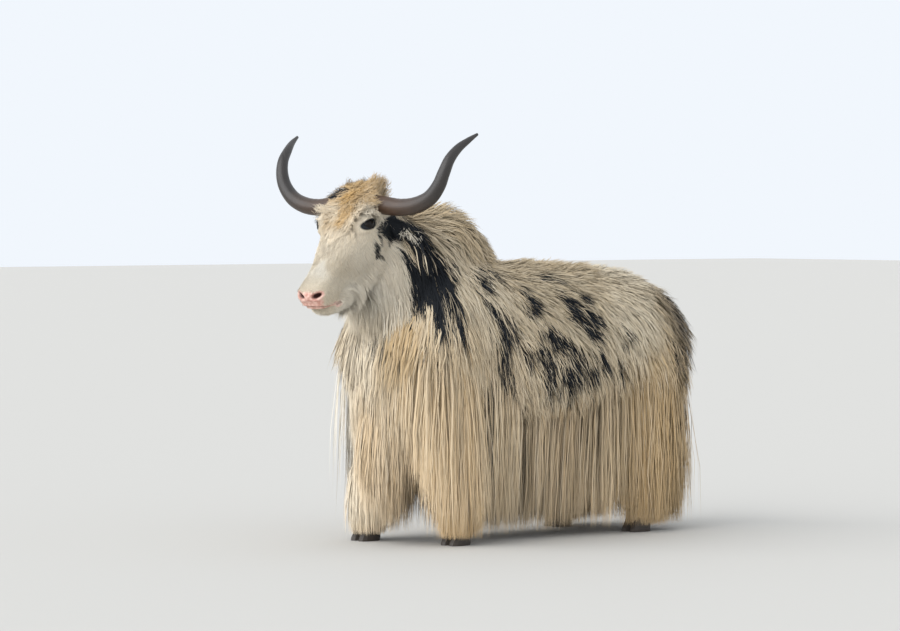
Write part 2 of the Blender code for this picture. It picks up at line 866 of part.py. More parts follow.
def dress_barrel(coat):
    for side in (1, -1):
        coat.sweep(4, (-0.40, side * 0.05, 2), (0.03, side * 0.05, 2), (0, 0, -1),
                   (-0.5, side, 0), 0.20, 0.085, 0.20, lift=0.42, steps=3, clear=0.024)
        side_rows(coat, side, [
            (0.96, -0.40, 0.03, 5, 0.24, 0.085, 0.30),
            (0.83, -0.38, 0.05, 5, 0.24, 0.085, 0.35),
            (0.70, -0.41, 0.03, 5, 0.22, 0.085, 0.45),
        ], (-0.45, 0, -1), steps=3, lift=0.36, clear=0.018)
        side_rows(coat, side, [
            (0.600, -0.42, 0.05, 8, 0.47, 0.080, 0.75),
            (0.525, -0.40, 0.03, 6, 0.42, 0.080, 0.85),
        ], (-0.25, 0, -1))


def dress_shoulders(coat):
    for side in (1, -1):
        side_rows(coat, side, [
            (1.05, 0.13, 0.30, 3, 0.22, 0.085, 0.35),
            (0.93, 0.13, 0.50, 5, 0.22, 0.085, 0.45),
        ], (-0.25, 0, -1), steps=3)
        coat.sweep(2, (1.3, side * 0.30, 0.93), (1.3, side * 0.36, 0.88), (-1, -side * 0.3, 0),
                   (0, 0, -1), 0.24, 0.080, 0.5, steps=3)
    for z, half, count, length, droop in (
        (0.92, 0.09, 3, 0.26, 0.5),
        (0.79, 0.07, 3, 0.32, 0.6),
        (0.66, 0.07, 3, 0.38, 0.7),
        (0.56, 0.07, 2, 0.36, 0.8),
    ):
        coat.sweep(count, (1.2, -half, z), (1.2, half, z), (-1, 0, 0), (0.1, 0, -1),
                   length, 0.080, droop - 0.08, lift=0.85)
    coat.sweep(3, (0.38, 0, 0.2), (0.56, 0, 0.2), (0, 0, 1), (0.05, 0, -1), 0.24, 0.08, 0.6,
               lift=1.2)


def around(coat, side, axis, levels, width, droop=0.5, lift=0.7):
    """Hair hanging off an upper leg: (height, length, directions in degrees out from the front)."""
    for z, length, directions in levels:
        for turn in directions:
            turn = math.radians(turn + coat.draw.uniform(-8, 8))
            aim = Vector((-math.cos(turn), -side * math.sin(turn), 0))
            source = Vector((axis[0], axis[1], z + coat.draw.uniform(-0.02, 0.02))) - aim
            coat.grow(source, aim, Vector((0, 0, -1)), length, width, droop, lift=lift)


def dress_foreleg(coat, side):
    axis = (0.42, side * 0.19)
    around(coat, side, axis, [
        (0.745, 0.50, (5, 35, 65, 100)),
        (0.660, 0.48, (15, 50, 80, 125)),
        (0.560, 0.40, (0, 40, 75, 105, 140)),
    ], 0.080)
    side_rows(coat, side, [
        (0.69, 0.12, 0.27, 3, 0.48, 0.080, 0.75),
        (0.56, 0.11, 0.25, 3, 0.42, 0.080, 0.85),
    ], (-0.1, 0, -1))


def dress_hindleg(coat, side):
    axis = (-0.66, side * 0.18)
    around(coat, side, axis, [
        (0.690, 0.52, (70, 100)),
        (0.600, 0.48, (30, 60, 90, 120)),
        (0.490, 0.36, (10, 45, 85, 125)),
    ], 0.080, droop=0.55)
    around(coat, side, axis, [
        (0.690, 0.52, (130, 165)),
        (0.600, 0.48, (150, 180)),
        (0.490, 0.36, (165,)),
    ], 0.085, droop=0.45, lift=1.0)
    side_rows(coat, side, [
        (0.65, -0.54, -0.49, 2, 0.48, 0.080, 0.75),
        (0.57, -0.51, -0.49, 1, 0.44, 0.080, 0.85),
    ], (-0.1, 0, -1))


def dress_rump(coat):
    for side in (1, -1):
        coat.sweep(3, (-0.70, side * 0.05, 2), (-0.50, side * 0.05, 2), (0, 0, -1),
                   (-0.8, side * 0.8, 0), 0.18, 0.085, 0.35, lift=0.4, steps=3, clear=0.02)
        side_rows(coat, side, [
            (0.94, -0.70, -0.49, 3, 0.22, 0.085, 0.4),
            (0.83, -0.78, -0.48, 4, 0.20, 0.085, 0.5),
        ], (-0.35, 0, -1), steps=3)
        coat.sweep(2, (-2, side * 0.15, 0.93), (-2, side * 0.19, 0.82), (1, 0, 0),
                   (0, 0, -1), 0.24, 0.085, 0.45, steps=3, lift=0.7)


def dress_hump(coat):
    for side in (1, -1):
        coat.sweep(4, (0.12, side, 1.23), (0.34, side, 1.24), (0, -side, 0), (-0.3, 0, -1),
                   0.15, 0.080, 0.5, steps=3)
    coat.sweep(4, (0.10, 0, 2), (0.32, 0, 2), (0, 0, -1), (-1, 0, -0.2), 0.13, 0.09, 0.15,
               lift=0.7, steps=3)


def dress_neck(coat):
    for side in (1, -1):
        for x, z, count in ((0.46, 1.23, 3), (0.49, 1.10, 3), (0.54, 0.98, 2)):
            coat.sweep(count, (x, side, z), (x + 0.13, side, z), (0, -side, 0),
                       (-0.35, 0, -1), 0.24, 0.080, 0.45, steps=3)
    coat.sweep(5, (0.40, 0.02, 2), (0.62, 0.03, 2), (0, 0, -1), (-1, 0, -0.2), 0.14, 0.09,
               0.15, lift=0.8, steps=3)
    for z, spread in ((0.90, 0.08), (0.97, 0.08), (1.04, 0.06)):
        coat.sweep(3, (1.4, 0.02 - spread, z), (1.4, 0.02 + spread, z), (-1, 0, 0),
                   (0.1, 0, -1), 0.24, 0.075, 0.5, steps=3, lift=0.7)


def dress_tail(coat):
    for z, count, length, width in (
        (0.82, 4, 0.50, 0.085),
        (0.68, 5, 0.52, 0.090),
        (0.53, 3, 0.38, 0.085),
    ):
        for i in range(count):
            turn = math.pi * (0.5 + (i + 0.5) / count)
            aim = Vector((-math.cos(turn), -math.sin(turn), 0))
            source = Vector((-0.92, 0, z)) - aim
            coat.grow(source, aim, Vector((-0.06, 0, -1)), length, width, 0.50, clear=0.024,
                      steps=3, lift=0.8)


def dress_head(coat):
    rows = [
        (-0.055, 5, 0.085, 0.085),
        (-0.020, 6, 0.100, 0.095),
        (0.020, 5, 0.095, 0.100),
        (0.060, 5, 0.075, 0.095),
    ]
    for along, count, spread, length in rows:
        coat.sweep(count, on_head(along, -spread, 1), on_head(along, spread, 1), -HEAD_UP,
                   HEAD_ALONG, length, 0.056, 0.12, jitter=0.008, curl=0.12, lift=1.0,
                   thick=0.030, steps=3, clear=0.018)
    for side in (1, -1):
        for along, up, length in ((0.045, -0.13, 0.20), (0.09, -0.16, 0.20), (0.14, -0.16, 0.17)):
            coat.sweep(1, on_head(along, side, up), on_head(along, side, up),
                       -HEAD_ACROSS * side, -UP - HEAD_FACING * 0.3, length, 0.075, 0.45,
                       steps=3)
    for along, length in ((0.09, 0.24), (0.14, 0.22), (0.20, 0.17)):
        for across in (-0.03, 0.03):
            coat.sweep(1, on_head(along, across, -1), on_head(along, across, -1), HEAD_UP,
                       -UP, length, 0.070, 0.6, lift=1.2, steps=3)


def head(collection, cutters):
    """The head with its lids, nostrils, lips and curly forelock, and sockets for what it carries."""
    whole = head_flesh(collection)
    surface = surface_of(whole)
    coat = coat_of("head", surface, 12)
    dress_head(coat)
    coat.join(whole)
    thin_out(whole, HEAD_SHARE)
    mouth = mouth_line(surface, cutters)
    boolean(whole, mouth, "DIFFERENCE")
    remove(mouth)
    for side in (1, -1):
        for above in (True, False):
            rim = lid("lid", side, above, collection)
            boolean(whole, rim, "UNION")
            remove(rim)
        opening = nostril("nostril", side, cutters)
        boolean(whole, opening, "DIFFERENCE")
        remove(opening)
    for side in (1, -1):
        for cutter in (
            horn("horn_socket", side, cutters, GAP),
            ball("eye_socket", eye_place(side), (EYE_RADIUS + GAP,) * 3, cutters),
            limb("ear_socket", ear_stations(side, GAP), ear_side(), 12, cutters),
        ):
            boolean(whole, cutter, "DIFFERENCE")
            remove(cutter)
    return whole


def clear_ears(obj, cutters):
    """Leaves room for both ears in what lies behind them."""
    for side in (1, -1):
        room = limb("ear_room", ear_stations(side, 0.001), ear_side(), 12, cutters)
        boolean(obj, room, "DIFFERENCE")
        remove(room)


def surface_of(obj):
    """A mesh as a tree that finds its nearest points."""
    bm = bmesh.new()
    bm.from_mesh(obj.data)
    tree = BVHTree.FromBMesh(bm)
    bm.free()
    return tree


def finish(obj, name, material, smooth=40):
    obj.name = name
    obj.data.name = name
    obj.data.materials.clear()
    obj.data.materials.append(material)
    obj.data.shade_smooth()
    obj.data.set_sharp_from_angle(angle=math.radians(smooth))
    obj.location = STAND
    return obj


def main():
    clear_scene()
    pieces = new_collection("yak")
    cutters = new_collection("cutters")
    coat_material = new_material("long_cream_hair", (0.62, 0.52, 0.38), 0.85)
    face_material = new_material("short_white_hair", (0.72, 0.66, 0.56), 0.80)
    horn_material = new_material("grey_horn", (0.075, 0.062, 0.055), 0.45)
    hoof_material = new_material("dark_hoof", (0.045, 0.040, 0.036), 0.55)
    eye_material = new_material("wet_dark_eye", (0.012, 0.008, 0.007), 0.08)

    body = flesh(pieces)
    skin = surface_of(body)
    dressers = {
        "neck": dress_neck,
        "hump": dress_hump,
        "shoulders": dress_shoulders,
        "barrel": dress_barrel,
        "rump": dress_rump,
        "tail": dress_tail,
        "foreleg_left": lambda coat: dress_foreleg(coat, 1),
        "foreleg_right": lambda coat: dress_foreleg(coat, -1),
        "hindleg_left": lambda coat: dress_hindleg(coat, 1),
        "hindleg_right": lambda coat: dress_hindleg(coat, -1),
    }
    for seed, (name, dress) in enumerate(dressers.items()):
        core = add_object(name + "_core", body.data.copy(), pieces)
        rough = space(name + "_rough", planes_of(name, -0.03), cutters)
        boolean(core, rough, "INTERSECT")
        remove(rough)
        coat = coat_of(name, skin, seed)
        dress(coat)
        coat.join(core)
        thin_out(core, LOCK_SHARE)
        if name == "neck":
            clear_ears(core, cutters)
        cut_to_space(core, name, cutters)
        finish(core, name, coat_material)
    remove(body)

    skull_piece = head(pieces, cutters)
    cut_to_space(skull_piece, "head", cutters)
    finish(skull_piece, "head", face_material)
    for side, word in ((1, "left"), (-1, "right")):
        finish(horn("horn", side, pieces), "horn_" + word, horn_material)
        finish(ear("ear", side, pieces), "ear_" + word, face_material)
        eye = ball("eye", eye_place(side), (EYE_RADIUS,) * 3, pieces)
        finish(eye, "eye_" + word, eye_material)
    for name, foot_x, side in (
        ("fore_left", LEFT_FORE_X, 1),
        ("fore_right", RIGHT_FORE_X, -1),
        ("hind_left", LEFT_HIND_X, 1),
        ("hind_right", RIGHT_HIND_X, -1),
    ):
        for part, offset in (("inner", -0.0245), ("outer", 0.0245)):
            y = side * (FOOT_SPREAD + offset)
            finish(claw("claw", foot_x, y, pieces), f"claw_{name}_{part}", hoof_material)


main()
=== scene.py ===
import math
import time

import bmesh
import bpy
import numpy as np
from mathutils import Matrix, Vector
from mathutils.bvhtree import BVHTree
from mathutils.kdtree import KDTree


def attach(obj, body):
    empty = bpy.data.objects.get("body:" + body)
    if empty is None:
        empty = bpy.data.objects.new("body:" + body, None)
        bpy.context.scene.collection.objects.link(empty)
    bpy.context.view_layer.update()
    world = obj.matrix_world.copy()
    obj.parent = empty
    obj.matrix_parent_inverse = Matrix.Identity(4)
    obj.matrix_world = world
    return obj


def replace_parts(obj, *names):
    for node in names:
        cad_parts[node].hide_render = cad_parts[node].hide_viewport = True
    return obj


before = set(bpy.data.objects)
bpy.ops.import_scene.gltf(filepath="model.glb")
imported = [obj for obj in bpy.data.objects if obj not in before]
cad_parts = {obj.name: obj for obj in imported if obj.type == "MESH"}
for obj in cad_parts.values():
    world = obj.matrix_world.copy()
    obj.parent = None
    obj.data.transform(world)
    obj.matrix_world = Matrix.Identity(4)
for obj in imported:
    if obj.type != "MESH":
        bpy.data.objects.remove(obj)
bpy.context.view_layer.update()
started = time.time()
print("frame loaded")

stand = Vector((0.018, -0.016, 0.0))  # the yak's own zero, as it stands in the frame
up = Vector((0, 0, 1))
leftward = Vector((0, 1, 0))
headPlan = dict(
    poll=Vector((0.71, 0.05, 1.32)),
    turn=math.radians(15),
    slope=math.radians(47),
    voxel=0.0036,
    relax=34,
)
headFacing = Vector((math.cos(headPlan["turn"]), math.sin(headPlan["turn"]), 0))
headAlong = headFacing * math.cos(headPlan["slope"]) - up * math.sin(headPlan["slope"])
headAcross = up.cross(headFacing)
headUp = headAlong.cross(headAcross)
headAxes = Matrix((headAlong, headAcross, headUp)).transposed()


def onHead(along, across, above):
    return headPlan["poll"] + headAlong * along + headAcross * across + headUp * above


def stage(text):
    print(f"{time.time() - started:6.1f} s  {text}", flush=True)


# Camera: the photograph's own place, about 14 m off and level with the withers
cameraPlan = dict(towards=Vector((0.643, 0.766, 0)), distance=14.0, height=1.3,
                  aim=Vector((0.130, -0.109, 0.886)), lens=140.0)


def placeCamera(plan):
    data = bpy.data.cameras.new("photoCamera")
    data.lens = plan["lens"]
    data.sensor_width = 36
    data.clip_end = 200
    camera = bpy.data.objects.new("photoCamera", data)
    camera.location = plan["towards"] * plan["distance"] + up * plan["height"] + stand
    gaze = plan["aim"] + stand - camera.location
    camera.rotation_mode = "QUATERNION"
    camera.rotation_quaternion = gaze.to_track_quat("-Z", "Y")
    bpy.context.scene.collection.objects.link(camera)
    bpy.context.scene.camera = camera


placeCamera(cameraPlan)


def newPiece(name, mesh):
    piece = bpy.data.objects.new(name, mesh)
    bpy.context.scene.collection.objects.link(piece)
    return piece


def baked(piece):
    # the piece with its modifiers applied
    bpy.context.view_layer.update()
    graph = bpy.context.evaluated_depsgraph_get()
    mesh = bpy.data.meshes.new_from_object(piece.evaluated_get(graph))
    piece.modifiers.clear()
    piece.data = mesh
    return piece


def discard(piece):
    bpy.data.objects.remove(piece)


def resampled(rows, count):
    # rows of numbers on a smooth curve through the given rows
    found = []
    for i in range(count):
        at = i * (len(rows) - 1) / (count - 1)
        k = min(int(at), len(rows) - 2)
        t = at - k
        p = [rows[min(max(k + j, 0), len(rows) - 1)] for j in (-1, 0, 1, 2)]
        found.append(tuple(
            0.5 * (2 * b + (c - a) * t + (2 * a - 5 * b + 4 * c - d) * t**2
                   + (3 * b - a - 3 * c + d) * t**3)
            for a, b, c, d in zip(*p)))
    return found


def ovalRing(centre, across, above, halfWidth, rise, drop, sides, power=1.0):
    points = []
    for i in range(sides):
        angle = 2 * math.pi * i / sides
        c, s = math.cos(angle), math.sin(angle)
        sideways = halfWidth * math.copysign(abs(c) ** power, c)
        upward = (rise if s > 0 else drop) * math.copysign(abs(s) ** power, s)
        points.append(centre + across * sideways + above * upward)
    return points


def loftInto(bm, rings):
    # a ring of edges, extruded from section to section and closed at both ends
    sides = len(rings[0])
    first = bmesh.ops.create_circle(bm, segments=sides, radius=1)["verts"]
    for vert, point in zip(first, rings[0]):
        vert.co = point
    ring = list(first)
    for points in rings[1:]:  # each section of the tube
        edges = [bm.edges.get((ring[i], ring[(i + 1) % sides])) for i in range(sides)]
        made = bmesh.ops.extrude_edge_only(bm, edges=edges)["geom"]
        fresh = {item for item in made if isinstance(item, bmesh.types.BMVert)}
        following = []
        for vert, point in zip(ring, points):
            for edge in vert.link_edges:
                other = edge.other_vert(vert)
                if other in fresh:
                    other.co = point
                    following.append(other)
                    break
        ring = following
    bm.faces.new(first)
    bm.faces.new(ring)


def limbRings(stations, across, sides):
    points = [Vector(station[0]) for station in stations]
    rings = []
    for i, (_, halfWidth, halfDepth) in enumerate(stations):
        run = (points[min(i + 1, len(points) - 1)] - points[max(i - 1, 0)]).normalized()
        deep = run.cross(across).normalized()
        rings.append(ovalRing(points[i], deep.cross(run), deep, halfWidth, halfDepth, halfDepth, sides))
    return rings


def ballInto(bm, centre, radii, turn=None, sides=24, tiers=14):
    made = bmesh.ops.create_uvsphere(bm, u_segments=sides, v_segments=tiers, radius=1)["verts"]
    bmesh.ops.scale(bm, vec=radii, verts=made)
    bmesh.ops.transform(bm, verts=made,
                        matrix=Matrix.Translation(centre) @ (turn.to_4x4() if turn else Matrix()))


def inOrder(bm):
    # extruding lists its new faces in another order each run, so they are sorted by their corners
    bm.verts.index_update()
    count = len(bm.verts)

    def rank(face):
        first, second, third = sorted(vert.index for vert in face.verts)[:3]
        return (first * count + second) * count + third

    bm.faces.sort(key=rank)


def solid(name, bm):
    inOrder(bm)
    bmesh.ops.recalc_face_normals(bm, faces=bm.faces)
    mesh = bpy.data.meshes.new(name)
    bm.to_mesh(mesh)
    bm.free()
    return newPiece(name, mesh)


def oneSkin(piece, voxel, relax):
    remesh = piece.modifiers.new("oneSkin", "REMESH")
    remesh.mode = "VOXEL"
    remesh.voxel_size = voxel
    smooth = piece.modifiers.new("relax", "SMOOTH")
    smooth.factor = 0.5
    smooth.iterations = relax
    return baked(piece)


def combined(piece, other, operation):
    modifier = piece.modifiers.new("combine", "BOOLEAN")
    modifier.operation = operation
    modifier.solver = "MANIFOLD"
    modifier.object = other
    baked(piece)
    discard(other)
    return piece


# Trunk, hump, neck, legs and the dock of the tail, without their hair. Limbs are rows of place,
# half width and half depth
bodyPlan = dict(
    voxel=0.0125,
    relax=18,
    square=0.9,
    footSpread=0.19,
    footX=dict(foreLeft=0.32, foreRight=0.47, hindLeft=-0.63, hindRight=-0.54),
    trunk=[  # x, top, bottom, half width, height of the widest part
        (-0.885, 0.86, 0.70, 0.09, 0.79), (-0.84, 0.93, 0.63, 0.185, 0.79),
        (-0.74, 1.00, 0.56, 0.248, 0.79), (-0.60, 1.045, 0.51, 0.275, 0.78),
        (-0.40, 1.065, 0.49, 0.295, 0.75), (-0.12, 1.08, 0.47, 0.315, 0.72),
        (0.10, 1.09, 0.48, 0.305, 0.74), (0.27, 1.12, 0.50, 0.275, 0.78),
        (0.44, 1.10, 0.52, 0.235, 0.80), (0.56, 1.02, 0.58, 0.18, 0.80),
        (0.63, 0.90, 0.68, 0.09, 0.79),
    ],
    hump=[  # x, top, half width, height
        (0.03, 1.07, 0.06, 0.10), (0.10, 1.17, 0.10, 0.16), (0.18, 1.265, 0.125, 0.24),
        (0.29, 1.305, 0.135, 0.30), (0.42, 1.295, 0.135, 0.30), (0.52, 1.285, 0.13, 0.28),
        (0.60, 1.285, 0.10, 0.22),
    ],
    neck=[
        ((0.30, 0.00, 0.92), 0.20, 0.24), ((0.41, 0.005, 0.99), 0.19, 0.245),
        ((0.50, 0.015, 1.06), 0.165, 0.215), ((0.58, 0.03, 1.14), 0.140, 0.170),
        ((0.64, 0.040, 1.20), 0.118, 0.130), ((0.71, 0.050, 1.23), 0.100, 0.100),
    ],
    dock=[
        ((-0.76, 0, 0.93), 0.055, 0.05), ((-0.85, 0, 0.90), 0.048, 0.045),
        ((-0.90, 0, 0.83), 0.042, 0.040), ((-0.92, 0, 0.73), 0.036, 0.034),
        ((-0.922, 0, 0.60), 0.028, 0.026), ((-0.918, 0, 0.47), 0.018, 0.018),
    ],
    brisket=(Vector((0.50, 0, 0.56)), (0.14, 0.10, 0.14)),
)


def forelegRows(footX, side):
    y = side * bodyPlan["footSpread"]
    return [
        ((0.36, side * 0.10, 1.05), 0.04, 0.06), ((0.39, side * 0.14, 0.98), 0.09, 0.12),
        ((0.43, side * 0.19, 0.84), 0.10, 0.14),
        ((0.36 + 0.15 * (footX - 0.3), side * 0.20, 0.68), 0.09, 0.12),
        ((0.33 + 0.4 * (footX - 0.3), y, 0.54), 0.068, 0.085),
        ((0.32 + 0.8 * (footX - 0.3), y, 0.38), 0.052, 0.060),
        ((footX + 0.01, y, 0.30), 0.048, 0.052), ((footX, y, 0.20), 0.036, 0.040),
        ((footX + 0.005, y, 0.12), 0.044, 0.050), ((footX + 0.03, y, 0.045), 0.042, 0.048),
    ]


def hindlegRows(footX, side):
    y = side * bodyPlan["footSpread"]
    return [
        ((-0.60, side * 0.08, 0.97), 0.04, 0.08), ((-0.61, side * 0.12, 0.90), 0.10, 0.16),
        ((-0.64, side * 0.160, 0.80), 0.12, 0.20),
        ((-0.65, side * 0.18, 0.68), 0.105, 0.17),
        ((-0.68 + 0.3 * (footX + 0.63), y, 0.54), 0.075, 0.115),
        ((-0.72 + 0.8 * (footX + 0.63), y, 0.42), 0.050, 0.070),
        ((footX - 0.08, y, 0.36), 0.045, 0.058), ((footX - 0.045, y, 0.24), 0.037, 0.042),
        ((footX - 0.02, y, 0.13), 0.044, 0.050), ((footX + 0.015, y, 0.045), 0.042, 0.048),
    ]


def bodyFlesh(plan):
    bm = bmesh.new()
    rings = []
    for x, top, bottom, halfWidth, middle in resampled(plan["trunk"], 31):
        rings.append(ovalRing(Vector((x, 0, middle)), leftward, up, halfWidth,
                              top - middle, middle - bottom, 40, plan["square"]))
    loftInto(bm, rings)
    rings = []
    for x, top, halfWidth, height in resampled(plan["hump"], 19):
        rings.append(ovalRing(Vector((x, 0.02 * max(0, x - 0.3), top - height / 2)), leftward, up,
                              halfWidth, height / 2, height / 2, 28))
    loftInto(bm, rings)
    loftInto(bm, limbRings(plan["neck"], leftward, 28))
    loftInto(bm, limbRings(plan["dock"], leftward, 16))
    feet = plan["footX"]
    for rows in (forelegRows(feet["foreLeft"], 1), forelegRows(feet["foreRight"], -1),
                 hindlegRows(feet["hindLeft"], 1), hindlegRows(feet["hindRight"], -1)):
        loftInto(bm, limbRings(rows, leftward, 20))
    ballInto(bm, *plan["brisket"])
    return oneSkin(solid("bodyFlesh", bm), plan["voxel"], plan["relax"])


# Head: skull, jaw, cheeks, brows, lips and the ears, whose cups are scooped afterwards
skullPlan = dict(
    square=0.85,
    skull=[  # along the face, height of the middle, half width, rise, drop
        (-0.080, -0.050, 0.070, 0.045, 0.060), (-0.045, -0.035, 0.100, 0.070, 0.120),
        (0.000, -0.030, 0.118, 0.080, 0.150), (0.050, -0.030, 0.123, 0.083, 0.165),
        (0.100, -0.030, 0.122, 0.080, 0.165), (0.150, -0.030, 0.114, 0.075, 0.150),
        (0.210, -0.030, 0.095, 0.067, 0.120), (0.270, -0.030, 0.079, 0.060, 0.092),
        (0.330, -0.028, 0.069, 0.054, 0.074), (0.385, -0.025, 0.067, 0.052, 0.068),
        (0.425, -0.022, 0.070, 0.051, 0.066), (0.452, -0.021, 0.067, 0.045, 0.061),
        (0.470, -0.021, 0.054, 0.034, 0.048), (0.479, -0.022, 0.034, 0.020, 0.028),
    ],
    jaw=[
        (0.02, -0.135, 0.060, 0.050, 0.045), (0.06, -0.155, 0.084, 0.060, 0.062),
        (0.12, -0.165, 0.088, 0.070, 0.060), (0.19, -0.152, 0.072, 0.060, 0.046),
        (0.27, -0.134, 0.062, 0.050, 0.040), (0.34, -0.122, 0.061, 0.044, 0.038),
        (0.400, -0.108, 0.061, 0.034, 0.036), (0.436, -0.096, 0.054, 0.028, 0.032),
        (0.460, -0.084, 0.036, 0.018, 0.022),
    ],
    poll=((-0.005, 0, 0.018), (0.085, 0.112, 0.042)),
    masses=[  # brow, cheek and muzzle, on both sides: place on the head, radii
        ((0.105, 0.084, 0.022), (0.062, 0.040, 0.038)),
        ((0.110, 0.066, -0.115), (0.090, 0.038, 0.080)),
        ((0.410, 0.044, -0.040), (0.054, 0.032, 0.044)),
    ],
    ear=[  # from inside the head to the tip: along, half breadth, half thickness
        (0.000, 0.020, 0.020), (0.035, 0.021, 0.021), (0.060, 0.026, 0.020),
        (0.090, 0.034, 0.016), (0.125, 0.034, 0.012), (0.150, 0.026, 0.009),
        (0.168, 0.014, 0.006), (0.178, 0.004, 0.003),
    ],
)


def earPath(side):
    # the ear grows out and back from under the horn and sags towards its tip
    base = onHead(0.020, side * 0.085, -0.050)
    reach = (headAcross * side * 0.68 - headFacing * 0.46 - up * 0.34).normalized()
    return [(base + reach * along - up * 0.9 * along**2, broad, thick)
            for along, broad, thick in resampled(skullPlan["ear"], 15)]


earAcross = (up * 0.75 + headFacing * 0.66).normalized()


def headFlesh(plan):
    bm = bmesh.new()
    for part, count, sides in (("skull", 40, 36), ("jaw", 24, 24)):
        rings = []
        for along, middle, halfWidth, rise, drop in resampled(plan[part], count):
            rings.append(ovalRing(onHead(along, 0, middle), headAcross, headUp,
                                  halfWidth, rise, drop, sides, plan["square"]))
        loftInto(bm, rings)
    ballInto(bm, onHead(*plan["poll"][0]), plan["poll"][1], headAxes)
    for side in (1, -1):
        for (along, across, above), radii in plan["masses"]:
            ballInto(bm, onHead(along, side * across, above), radii, headAxes)
    flesh = oneSkin(solid("headFlesh", bm), headPlan["voxel"], headPlan["relax"])
    for side in (1, -1):
        bm = bmesh.new()
        loftInto(bm, limbRings(earPath(side), earAcross, 24))
        blade = solid("earBlade", bm)
        bm = bmesh.new()
        opening = (headFacing * 0.70 - up * 0.10 + headAcross * side * 0.70).normalized()
        hollow = [(point + opening * (0.55 * thick + 0.003), 0.74 * broad, 0.80 * thick)
                  for point, broad, thick in earPath(side)[5:15]]
        loftInto(bm, limbRings(hollow, earAcross, 20))
        combined(blade, solid("earCup", bm), "DIFFERENCE")
        combined(flesh, blade, "UNION")
    return flesh


# Eyes, in metres; corner, upper, lower and point shape the opening between the lids, in shares of the
# eyeball's radius
eyePlan = dict(radius=0.026, along=0.113, across=0.107, above=0.021,
               corner=1.0, upper=0.58, lower=0.47, point=0.40, arch=0.75, lid=0.0040, roll=0.010,
               soften=0.026, fine=0.046)
# The black oval round the opening and the bare one in it, in the same shares, drawn to the back corner
rimPlan = dict(back=0.10, down=0.03, slant=0.06, black=(1.62, 0.82), bare=(1.50, 0.80))


def eyeFrame(side):
    # middle of the eyeball, the way it looks, towards its front corner, and up over it
    centre = onHead(eyePlan["along"], side * eyePlan["across"], eyePlan["above"])
    outward = (headAcross * side * 0.90 + headAlong * 0.18 + headUp * 0.38).normalized()
    slant = headFacing - up * 0.12
    fore = (slant - outward * slant.dot(outward)).normalized()
    over = outward.cross(fore) * side
    if over.dot(headUp) < 0:
        over = -over
    return centre, outward, fore, over


def shapeLids(bm):
    r = eyePlan["radius"]
    for side in (1, -1):
        centre, outward, fore, over = eyeFrame(side)
        near = [edge for edge in bm.edges if (edge.verts[0].co - centre).length < eyePlan["fine"]
                and (edge.verts[1].co - centre).dot(outward) > 0]
        bmesh.ops.subdivide_edges(bm, edges=near, cuts=1, use_grid_fill=True, smooth=0.3)
        for vert in bm.verts:
            offset = vert.co - centre
            if offset.length > 0.060 or offset.dot(outward) < -0.004:
                continue
            u, w = offset.dot(fore) / r, offset.dot(over) / r
            reach = max(0.0, 1 - (u / eyePlan["corner"]) ** 2)
            edge = (eyePlan["upper"] if w > 0 else eyePlan["lower"]) * reach ** eyePlan["arch"]
            edge *= 1 - eyePlan["point"] * max(u, 0)
            past = abs(u) - eyePlan["corner"]
            beyond = r * (abs(w) - edge if past < 0 else math.hypot(past, w))
            if beyond < 0:  # inside the opening: behind the eyeball's front
                vert.co = centre + offset.normalized() * r * 0.86
                continue
            share = max(0.0, 1 - beyond / eyePlan["soften"])
            share = share * share * (3 - 2 * share)
            roll = 1 - 0.35 * math.cos(min(1.0, beyond / eyePlan["roll"]) * math.pi)
            rise = eyePlan["lid"] * (1.25 if w > 0 else 0.9) * roll
            goal = centre + offset.normalized() * (r + rise)
            vert.co = vert.co.lerp(goal, share)


def pressed(bm, centre, along, across, plan):
    # a pit with a raised rim, in an oval around a place on the skin
    radii = plan["radii"]
    for vert in bm.verts:
        offset = vert.co - centre
        if offset.length > 2.2 * max(radii) + 0.01:
            continue
        inward = vert.normal
        e = math.hypot(offset.dot(along) / radii[0], offset.dot(across) / radii[1])
        if e < 1:
            vert.co = vert.co - inward * plan["depth"] * (1 - e * e) ** 0.6
        elif e < 1.9:
            vert.co = vert.co + inward * plan["rim"] * math.sin((e - 1) / 0.9 * math.pi)


# Nose and mouth: the nostrils' slits and the line between the lips, in the head's own directions
nostrilPlan = dict(place=(0.463, 0.037, 0.003), radii=(0.0240, 0.0112), depth=0.024, rim=0.0022)
mouthPlan = dict(depth=0.0065, width=0.0034, lip=0.0028, lipFrom=0.010, lipWidth=0.006, stations=161, line=[
    (0.398, 0.072, -0.099), (0.424, 0.070, -0.085), (0.448, 0.063, -0.068),
    (0.465, 0.052, -0.056), (0.476, 0.034, -0.047), (0.479, 0.000, -0.043)])


def shapeMouth(bm, surface):
    rows = mouthPlan["line"] + [(a, -c, h) for a, c, h in reversed(mouthPlan["line"][:-1])]
    tree = KDTree(mouthPlan["stations"])
    for i, row in enumerate(resampled(rows, mouthPlan["stations"])):
        lips.append(surface.find_nearest(onHead(*row))[0])
        tree.insert(lips[i], i)
    tree.balance()
    bm.normal_update()
    for vert in bm.verts:
        if (vert.co - onHead(0.42, 0, -0.08)).length > 0.13:
            continue
        away = tree.find(vert.co)[2]
        groove = math.exp(-((away / mouthPlan["width"]) ** 2))
        lip = math.exp(-(((away - mouthPlan["lipFrom"]) / mouthPlan["lipWidth"]) ** 2))
        vert.co = vert.co - vert.normal * (mouthPlan["depth"] * groove - mouthPlan["lip"] * lip)


def treeOf(piece):
    bm = bmesh.new()
    bm.from_mesh(piece.data)
    tree = BVHTree.FromBMesh(bm)
    bm.free()
    return tree


pits = []  # where the nostrils open, along and across their slits
lips = []  # the line of the mouth on the skin


